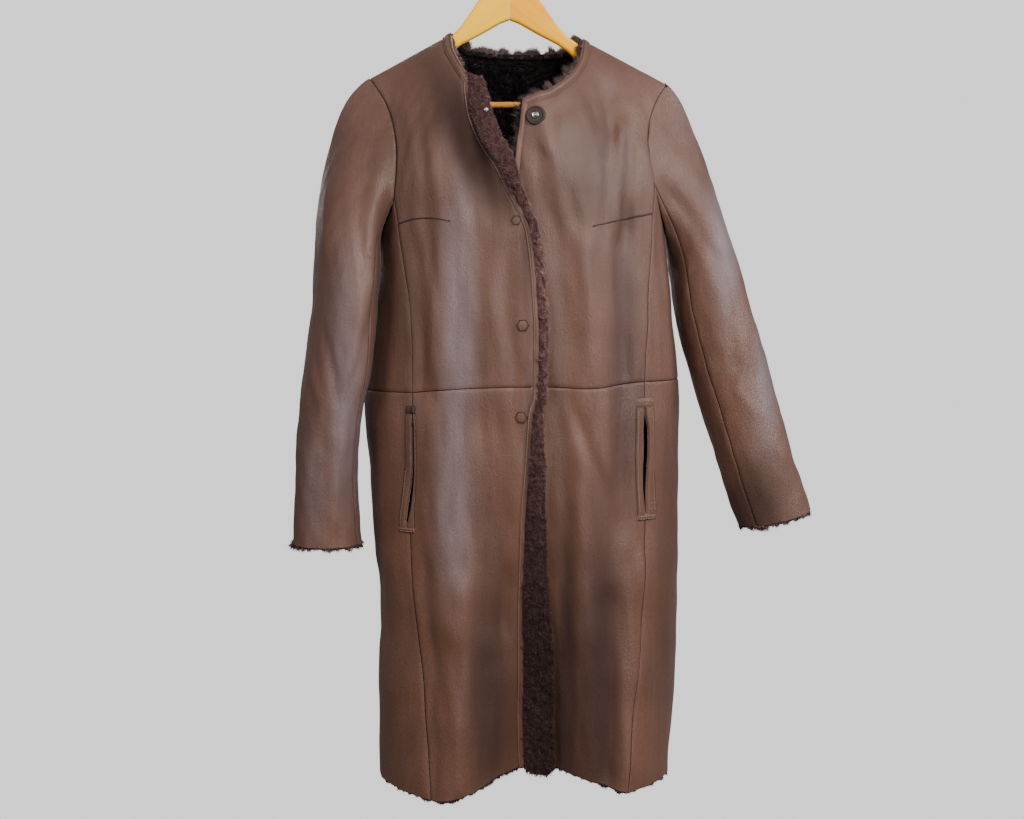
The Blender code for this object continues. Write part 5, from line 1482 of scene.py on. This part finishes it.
# %% [markdown]
# ## Fringes
# The other edges share one recipe: a thin strip that runs along the edge, and tufts along it
# that point away from the leather. `fringe` takes the edge line, the way the fur leaves it and
# the way that is outward, and makes both.

# %% Fringes of neck, left front, hem and cuffs
def fringe(name, line, away, outward, reach, thick, count, finish, spread=0.35, closed=False,
           radius=0.00055):
    """Fur along an edge line. away: where it points; outward: off the leather's face."""
    share = np.linspace(0, 1, 4)[:, None, None]
    outer = line + away * reach * 0.55 * share + outward * (0.0003 - 0.0011 * share)
    outer = outer + outward * 0.0004 * unevenness(outer, 0.009, 81)[..., None]
    inner = outer - outward[None] * thick
    chance = np.random.RandomState(count + len(name))
    at = chance.uniform(0, len(line) - 1.001, count)
    i = at.astype(int)
    roots, ways, faces = (mix(v[i], v[i + 1], (at - i)[:, None]) for v in (line, away, outward))
    ways, faces = unit(ways), unit(faces)
    deep = chance.uniform(0.0002, thick, count)[:, None]
    roots = roots - faces * deep + ways * chance.uniform(-0.0010, reach * 0.35, count)[:, None]
    ragged = 0.80 + 0.40 * unevenness(roots, 0.013, 82)
    lengths = np.clip(reach * ragged * chance.uniform(0.55, 1.25, count), 0.0012, reach * 1.7)
    tufts = [(roots, clumped(roots, ways + faces * 0.15, spread), lengths, radius)]
    fur_piece(name, outer, inner, tufts, finish, closed)


# each side's first point, reach and doublings
for side, start, reach, number in (("right", 2, 0.0046, 6), ("left", 0, 0.0090, 8)):
    outer, ways = formed["neck_band_" + side]
    line, away = outer[:, 0], unit(outer[:, 0] - outer[:, 4])
    fringe("fur_neck_" + side, (line - ways[:, 0] * 0.0012 - away * 0.0006)[start:], away[start:],
           ways[start:, 0], reach, 0.0042, TUFTS[number], fur_neck, 0.42)
outer, ways = formed["front_band_left"]
rows = slice(0, int(np.argmin(abs(outer[:, 0, 2] + 0.46))))  # lower down it can't be seen
line, away = outer[rows, 0], unit(outer[rows, 0] - outer[rows, 4])
fringe("fur_front_left", line - ways[rows, 0] * 0.0016 - away * 0.0010, away,
       ways[rows, 0], 0.0150, 0.0045, TUFTS[7], fur_neck, 0.35)
outer, ways = formed["neck_band_back"]
line, away = outer[:, 0], unit(outer[:, 0] - outer[:, 6] + (0, 0, 0.004))
nape = slice(3, -3)
fringe("fur_neck_back", (line - ways[:, 0] * 0.0010 - away * 0.0020)[nape], away[nape],
       ways[nape, 0], 0.0100, 0.0075, TUFTS[9], fur_neck, 0.32)


def free_edge(names_and_steps):
    """The lower edge of several pieces as one line: its places, its way out and its faces."""
    found = []
    for name, step in names_and_steps:
        outer, ways = formed[name]
        part = slice(1 if found else 0, None)
        found.append([row[::step][part] for row in (outer[-1], outer[-3], ways[-1])])
    lines, before, faces = (np.concatenate(rows) for rows in zip(*found))
    return lines, unit(lines - before), faces


line, away, faces = free_edge((
    ("front_band_right", 1), ("front_lower_right", 1), ("side_lower_right", 1), ("back_lower", 1),
    ("side_lower_left", -1), ("front_lower_left", -1), ("front_band_left", -1)))
away = unit(away + (0, 0, -0.3))
fringe("fur_hem", line - faces * 0.0008 - away * 0.0006, away, faces, 0.0042, 0.0044, TUFTS[10],
       fur_hem, 0.22, radius=0.0005)
for side in SIGN:
    line, away, faces = free_edge((("sleeve_upper_" + side, 1), ("sleeve_under_" + side, 1)))
    line[-1], away[-1], faces[-1] = line[0], away[0], faces[0]
    fringe("fur_cuff_" + side, line - faces * 0.0008 - away * 0.0012, away, faces, 0.0068, 0.0044,
           TUFTS[8], fur_cuff, 0.38, True, 0.0005)
print("fur faces:", sum(len(o.data.polygons) for o in fur.values()))

# %% [markdown]
# ## The fur behind the neck
# Through the open neck one looks on the fur of the upper back. It is in shade, and its finish
# is a much darker copy of the fur, painted shade, so it only needs depth and a few lit tips:
# larger tufts on the inner face of the back and of its neck band.

# %% Fur seen inside the back
def hanging(roots, lie, drop):
    """Tufts that lean down and apart, and never back through the skin."""
    lean = clumped(roots, unit(lie + (0, 0, -drop)), 0.5, 0.02)
    inward = (lean * lie).sum(axis=1)
    return unit(lean + lie * (np.maximum(inward, 0.35) - inward)[:, None])


chance = np.random.RandomState(92)
bm = bmesh.new()
# piece, its wall, doublings, seed, rows, columns, how far the tufts hang, shortest and longest
for name, wall, number, seed, rows, cols, drop, short, long in (
        ("back_upper", WALL, 8, 91, (0.02, 0.52), (0.33, 0.67), 0.7, 0.006, 0.011),
        ("neck_band_back", BAND_WALL, 6, 93, (0.05, 0.95), (0, 1), 0.9, 0.005, 0.009)):
    outer, ways = formed[name]
    inside = outer - ways * (wall - 0.0004)
    roots, lie, _ = spread_over(inside, -ways, TUFTS[number], seed, rows, cols)
    lengths = chance.uniform(short, long, len(roots))
    bm.from_mesh(tuft_mesh(roots, hanging(roots, lie, drop), lengths, 0.0011))
nape_fur = new_object("fur_inside_back", bm, fur_shade)
nape_fur.data.shade_smooth()
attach(nape_fur, "root")
print("fur inside the back:", len(nape_fur.data.polygons), "faces")

# %% [markdown]
# ## Fastenings
# The coat closes with hidden snaps. At the neck the outer half shows: a dark ribbed ring with a
# bright socket in its middle. Lower down, each snap is sewn through from inside, so outside
# there is only a small six-sided line of stitches. The other half of the neck snap sits in the
# fur of the turned edge. Rings are profiles spun a full turn about the axis that the leather
# faces.

# %% Snap finishes
BRIGHT, DULL = (0.72, 0.69, 0.68), (0.42, 0.39, 0.38)
bright_metal, metal_tree, shader, place = new_finish("bright_metal", 0.26, Metallic=1.0)
worn = noise(metal_tree, place, 700, 4, 0.6)
colour = ramp(metal_tree, worn, (0.32, DULL), (0.6, BRIGHT))
metal_tree.links.new(colour, shader.inputs["Base Color"])
metal_tree.links.new(fit(metal_tree, worn, 0.3, 0.7, 0.38, 0.21), shader.inputs["Roughness"])
snap_dark = speckled("snap_dark", 0.65, 520, (0.008, 0.004, 0.003), (0.030, 0.014, 0.010),
                     detail=4, stops=(0.32, 0.70))
snap_ribs = speckled("snap_ribs", 0.38, 900, (0.040, 0.022, 0.018), (0.12, 0.075, 0.062))

# %% [markdown]
# `turned` spins a short profile, given as (radius, height) pairs in millimetres, into a closed
# round part, and stands it on a place of the skin.

# %% Turned parts
def seat(place, way):
    """A matrix that stands a part's own z axis on the way the leather faces."""
    turn = Vector(way).to_track_quat("Z", "Y").to_matrix().to_4x4()
    return Matrix.Translation(Vector(place)) @ turn


def turned(profile, steps, at):
    """A bmesh of a profile spun about z, and put in place."""
    bm = bmesh.new()
    points = [bm.verts.new((radius, 0, height)) for radius, height in metres(profile)]
    edges = [bm.edges.new(pair) for pair in zip(points, points[1:])]
    bmesh.ops.spin(bm, geom=points + edges, cent=(0, 0, 0), axis=(0, 0, 1), angle=2 * math.pi,
                   steps=steps, use_merge=True, use_duplicate=False)
    bmesh.ops.remove_doubles(bm, verts=bm.verts, dist=1e-6)
    bmesh.ops.recalc_face_normals(bm, faces=bm.faces[:])
    bmesh.ops.transform(bm, matrix=at, verts=bm.verts)
    return bm


def marked_block(bm, at, size):
    """A block in the part's second finish."""
    made = add_block(bm, at, size)
    for face in {face for vert in made["verts"] for face in vert.link_faces}:
        face.material_index = 1


RIM = 0.01  # a profile starts this far from the axis
NECK_SNAP, RIBS = (0.0335, -0.2935), 26
place, way = land(*NECK_SNAP)
at = seat(place, unit(way + (0, -1, 0.05)))
bm = turned(((5.3, 0.2), (12.4, 0.2), (12.6, 1.4), (12.1, 2.6), (11.2, 3.3), (10, 3.4), (9, 2.8),
             (8.4, 2.1), (5.6, 2.1), (5.3, 0.2)), 48, at)
for n in range(RIBS):
    turn = at @ Matrix.Rotation(2 * math.pi * n / RIBS, 4, "Z")
    marked_block(bm, turn @ Matrix.Translation((0.0071, 0, 0.0024)), (0.0022, 0.0008, 0.0011))
ring = piece_from("neck_snap_ring", bm, snap_dark, snap_ribs)
bm = turned(((RIM, 0.3), (4.6, 0.3), (4.8, 1.6), (4.5, 3), (3.9, 3.6), (3.2, 3.4), (2.7, 2.6),
             (1.2, 2.4), (RIM, 2.6)), 40, at)
# The dark block across the bright centre stands for its slit: painted shade.
marked_block(bm, at @ Matrix.Translation((0, -0.0014, 0.0031)), (0.0046, 0.0012, 0.0016))
centre = piece_from("neck_snap_centre", bm, bright_metal, snap_dark)
for made, node, slot in ((ring, "neck_snap_ring", "snap_dark"),
                         (centre, "neck_snap_centre", "metal")):
    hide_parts(node)

# %% Sewn snaps of the front
snap_parts = []
# x, z and radius
SEWN = metres(((8.5, -425, 6.2), (17, -557, 7.4), (15, -674, 7.4)))
for number, (x, z, radius) in enumerate(SEWN, 1):
    place, way = land(x, z)
    at, wide = seat(place, way), radius * 1000
    bm = turned(((RIM, 0.9), (wide * 0.72, 0.9), (wide * 0.90, 0.6), (wide, -0.2),
                 (wide * 0.90, -1.2), (RIM, -1.2)), 6, at)
    patch = piece_from("snap_patch_%d" % number, bm, leather)
    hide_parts("snap_patch_%d" % number)
    corners = [at @ Vector((radius * 1.02 * math.cos(a), radius * 1.02 * math.sin(a), 0.0004))
               for a in np.radians(np.arange(7) * 60)]
    line = np.array(corners)
    part = np.linspace(0, 1, 6)[:-1, None]
    fine = np.concatenate([mix(a, b, part) for a, b in zip(line, line[1:])] + [line[-1:]])
    bm = bmesh.new()
    lay_stitches(bm, fine, np.broadcast_to(way, fine.shape), 0.0021, (0.0018, 0.0011, 0.0006))
    for corner in corners[:-1]:
        bmesh.ops.create_icosphere(bm, subdivisions=1, radius=0.00095,
                                   matrix=Matrix.Translation(corner))
    made = piece_from("stitches_snap_%d" % number, bm, snap_dark)
    snap_parts += [patch, made]

# %% Snap half in the turned fur
place = Vector((-0.0290, float(front_y(-0.0290, -0.2860)) - 0.0058, -0.2860))
at = seat(place, (0.25, -1, 0.1))
bm = turned(((RIM, -1), (2.7, -1), (2.8, 0.2), (2.4, 0.8), (1.6, 1), (1.4, 2.2), (0.8, 2.6),
             (RIM, 2.6)), 32, at)
socket = piece_from("neck_socket", bm, bright_metal)
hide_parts("neck_socket")
print("snaps placed:", 2 + len(SEWN))

# %% [markdown]
# ## The hanger
# A plain wooden hanger: two arms cut from beech, glued at the middle, a round bar between their
# ends, and a wire hook. Each arm is a flat outline with its edges well rounded. Long grain runs
# down each arm, so the pattern is stretched along it, and the two arms differ a little in
# colour, as two cuts of wood do.

# %% Wood finish
def wood_finish(name, pale, deep, slope):
    made, tree, shader, place = new_finish(name, 0.6, IOR=1.2)
    place = add(tree, "Mapping", {"Vector": place, "Rotation": (0, slope, 0)}).outputs["Vector"]
    grain = noise(tree, place, 60, 5, 0.6, (0.10, 1, 1.5))
    fine = noise(tree, place, 420, 3, 0.6, (0.05, 1, 1))
    colour = ramp(tree, grain, (0.30, deep), (0.62, pale))
    colour = layer(tree, fine, 0.45, 0.75, 0.22, deep, colour)
    tree.links.new(colour, shader.inputs["Base Color"])
    tree.links.new(bump(tree, fine, 0.0003, 0.5), shader.inputs["Normal"])
    return made


wood = {"right": wood_finish("wood_pale", (1.00, 0.56, 0.012), (0.94, 0.45, 0.008), 0.65),
        "left": wood_finish("wood_amber", (1.00, 0.46, 0.012), (0.88, 0.35, 0.008), -0.65)}
bar_wood = wood_finish("wood_bar", (0.74, 0.31, 0.060), (0.55, 0.20, 0.035), 0.0)

# %% Hanger arms
# x, top and underside of an arm near the middle; further out its top follows the shoulder
ARM_ROOT = metres((
    (0.15, -86, -159), (12, -93, -163.5), (40, -133, -179), (62, -164.5, -190), (77, -180.8, -200)))
ARM_OUT = {"right": (0.087, 0.110, 0.130, 0.148), "left": (0.094, 0.113, 0.130, 0.148)}
ARM_UNDER, ARM_HIGH, ARM_TIP, ARM_FOOT_Z, ARM_FOOT_IN = 0.0102, 0.024, 0.160, -0.282, 0.138
ARM_THICK, ARM_EDGE = 0.012, 0.0042


def arm_outline(side):
    neck, tip = SHOULDER[side]
    slope = (tip[1] - neck[1]) / abs(tip[0] - neck[0])
    tops = [(x, top) for x, top, _ in ARM_ROOT]
    under = [(x, low) for x, _, low in ARM_ROOT]
    for x in ARM_OUT[side]:
        top = neck[1] + (x - abs(neck[0])) * slope - ARM_UNDER
        tops.append((x, top))
        if x < 0.135:
            under.append((x, top - ARM_HIGH))
    fall = tops[-1][1]
    tops += [(0.1555, fall - 0.006), (ARM_TIP, fall - 0.016), (ARM_TIP, ARM_FOOT_Z + 0.004),
             (ARM_TIP - 0.004, ARM_FOOT_Z)]
    under += [(ARM_FOOT_IN, under[-1][1] - 0.010)]
    return tops + [(ARM_FOOT_IN, ARM_FOOT_Z)] + under[::-1]


for side in SIGN:
    bm = bmesh.new()
    verts = [bm.verts.new((SIGN[side] * x, -ARM_THICK / 2, z)) for x, z in arm_outline(side)]
    face = bm.faces.new(verts)
    up = bmesh.ops.extrude_face_region(bm, geom=[face])
    bmesh.ops.translate(bm, vec=(0, ARM_THICK, 0),
                        verts=[v for v in up["geom"] if isinstance(v, bmesh.types.BMVert)])
    bmesh.ops.recalc_face_normals(bm, faces=bm.faces[:])
    rims = [e for e in bm.edges if abs(e.verts[0].co.y - e.verts[1].co.y) < 1e-6
            and min(abs(v.co.x) for v in e.verts) + max(abs(v.co.x) for v in e.verts) > 0.001]
    bmesh.ops.bevel(bm, geom=rims, offset=ARM_EDGE, offset_type="OFFSET", segments=4, profile=0.5,
                    affect="EDGES", material=-1, clamp_overlap=True)
    bmesh.ops.triangulate(bm, faces=[f for f in bm.faces if len(f.verts) > 4])
    arm = piece_from("hanger_arm_" + side, bm, wood[side])
    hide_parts("hanger_arm_" + side)

# %% Hanger bar and hook
BAR_Z, BAR_RADIUS, BAR_END = -0.2691, 0.004, 0.1377
bm = bmesh.new()
along_x = Matrix.Translation((0, 0, BAR_Z)) @ Matrix.Rotation(math.pi / 2, 4, "Y")
bmesh.ops.create_cone(bm, cap_ends=True, segments=28, radius1=BAR_RADIUS, radius2=BAR_RADIUS,
                      depth=2 * BAR_END, matrix=along_x)
bar = piece_from("hanger_bar", bm, bar_wood)
HOOK_RADIUS, WIRE, HOOK_CENTRE, STEM_TOP, STEM_FOOT = 0.0218, 0.0018, -0.020, -0.066, -0.0856
arc = [(HOOK_RADIUS * math.cos(a), HOOK_CENTRE + HOOK_RADIUS * math.sin(a))
       for a in np.radians(np.linspace(-78, 205, 44))]
neck_bend = [(0.0, STEM_FOOT), (0.0, STEM_TOP), (0.0, -0.056), (0.0006, -0.049), (0.0022, -0.0445)]
path = along(np.array(neck_bend + arc), np.linspace(0, 1, 90))
bm = bmesh.new()
rings = []
for n, (x, z) in enumerate(path):
    ahead = unit(path[min(n + 1, len(path) - 1)] - path[max(n - 1, 0)])
    turn = Vector((ahead[0], 0, ahead[1])).to_track_quat("Z", "Y").to_matrix().to_4x4()
    made = bmesh.ops.create_circle(bm, cap_ends=n in (0, len(path) - 1), segments=12, radius=WIRE,
                                   matrix=Matrix.Translation((x, 0, z)) @ turn)
    rings.append({e for v in made["verts"] for e in v.link_edges})
for low_ring, high_ring in zip(rings, rings[1:]):
    bmesh.ops.bridge_loops(bm, edges=list(low_ring | high_ring))
bmesh.ops.recalc_face_normals(bm, faces=bm.faces[:])
hook = piece_from("hanger_hook", bm, bright_metal)
for made, node, slot in ((bar, "hanger_bar", "hanger_bar_wood"), (hook, "hanger_hook", "metal")):
    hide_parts(node)
print("hanger pieces: 4")

# %% [markdown]
# ## What each piece was cut to
# Every leather piece is a sheet that was cut flat and then sewn and hung. We print the width and
# length that its net had before any crease was put in, and work out its area. Stitches, fur,
# darts and snaps are listed with the sheet that carries them.

# %% Sheets
on_it = {"neck_band_left": [stitched["neck"], fur["fur_neck_left"]],
         "neck_band_right": [fur["fur_neck_right"]], "neck_band_back": [fur["fur_neck_back"]],
         "front_band_right": [stitched["front"], fur["fur_front_right"], socket],
         "front_band_left": [fur["fur_front_left"]],
         "back_upper": [nape_fur] + tapes, "back_lower": [fur["fur_hem"]],
         "front_upper_right": [darts["dart_right"]] + snap_parts,
         "front_upper_left": [darts["dart_left"], ring, centre],
         "front_lower_left": [stitched["pockets"]]}
for side in SIGN:
    on_it["sleeve_upper_" + side] = [fur["fur_cuff_" + side]]
    on_it.setdefault("front_lower_" + side, []).extend(
        [pocket_parts["pocket_tab_%s_%s" % (which, side)] for which in ("top", "bottom")]
        + [made for name, made in outlines.items() if name.startswith(side)])


NARROWEST = 0.0102  # narrower strips are cut this wide and turned under
cloth = {**leather_objects, **bands, **{n: o for n, o in pocket_parts.items() if "welt" in n}}
for name, made in cloth.items():
    (wide, long), area = cuts[name]
    if wide > long:
        wide, long = long, wide
    if wide < 0.02:  # a narrow strip is turned over at its edges
        turned_in = BAND_WALL if "band" in name else 0.0025
        wide, area = wide + turned_in, area + turned_in * long
    wide = max(wide, NARROWEST)
    print("  %-26s %4.0f x %4.0f mm" % (name, wide * 1000, long * 1000))
print("sheets:", len(cloth))

# %% [markdown]
# ## Floor, light and camera
# A coat on a hanger is lit like a product. One large warm light stands high in front, to the
# wearer's left. A narrow cool one beside it gives the long lit fold, another at the side
# draws the left sleeve, a weak warm one fills the right, and the last lights the back. The
# floor lies well below the hem and has the room's own grey.

# %% Room and floor
BACKDROP, ROOM_LIGHT = 1.27, (0.22, 0.22, 0.23)


def seen_or_felt(tree, seen, felt, target):
    """One even grey where it is looked at, and a softer one as light on the coat."""
    path = add(tree, "LightPath").outputs["Is Camera Ray"]
    tree.links.new(mixed(tree, path, felt, seen), target)


world = bpy.data.worlds.new("pale room")
bpy.context.scene.world = world
world.use_nodes = True
seen_or_felt(world.node_tree, (BACKDROP,) * 3, ROOM_LIGHT,
             world.node_tree.nodes["Background"].inputs["Color"])

floor_finish = bpy.data.materials.new("pale_floor")
floor_finish.use_nodes = True
floor_tree = floor_finish.node_tree
floor_glow = add(floor_tree, "Emission")
seen_or_felt(floor_tree, (BACKDROP,) * 3, (0.15, 0.14, 0.13), floor_glow.inputs["Color"])
floor_tree.links.new(floor_glow.outputs[0], floor_tree.nodes["Material Output"].inputs["Surface"])
bm = bmesh.new()
bmesh.ops.create_grid(bm, x_segments=4, y_segments=4, size=9,
                      matrix=Matrix.Translation((0, 0, -1.62)))
floor = new_object("floor", bm, floor_finish)


def soft_light(name, place, target, size, power, colour):
    lamp = bpy.data.lights.new(name, "AREA")
    lamp.shape, (lamp.size, lamp.size_y) = "RECTANGLE", size
    lamp.energy, lamp.color = power, colour
    made = placed(name, lamp)
    made.location = place
    made.rotation_euler = (Vector(target) - Vector(place)).to_track_quat("-Z", "Y").to_euler()


soft_light("key", (0.90, -1.7, 0.75), (0.03, 0.0, -0.42), (1.1, 1.1), 62, (1.0, 0.93, 0.85))
soft_light("window", (0.75, -2.1, -0.40), (0.0, 0.0, -0.50), (0.30, 1.4), 17, (0.72, 0.82, 1.0))
soft_light("side", (1.9, -0.4, 0.25), (0.15, 0.0, -0.5), (0.4, 1.2), 22, (0.80, 0.88, 1.0))
soft_light("behind", (-0.7, 2.3, 0.5), (0.0, 0.0, -0.50), (1.5, 1.5), 40, (1.0, 0.97, 0.94))
soft_light("fill", (-1.6, -1.8, 0.3), (-0.1, 0.0, -0.4), (0.8, 1.0), 22, (1.0, 0.94, 0.90))

# %% Camera
FOCUS_PIXELS, WIDE_PIXELS, SENSOR = 1407, 1024, 36
eye = bpy.data.cameras.new("camera")
eye.sensor_width = SENSOR
eye.lens = SENSOR * FOCUS_PIXELS / WIDE_PIXELS
camera = placed("camera", eye)
camera.location = (0.0035, -1.9, -0.486)
camera.rotation_euler = (math.radians(90 - 5.7), 0, 0)
bpy.context.scene.camera = camera
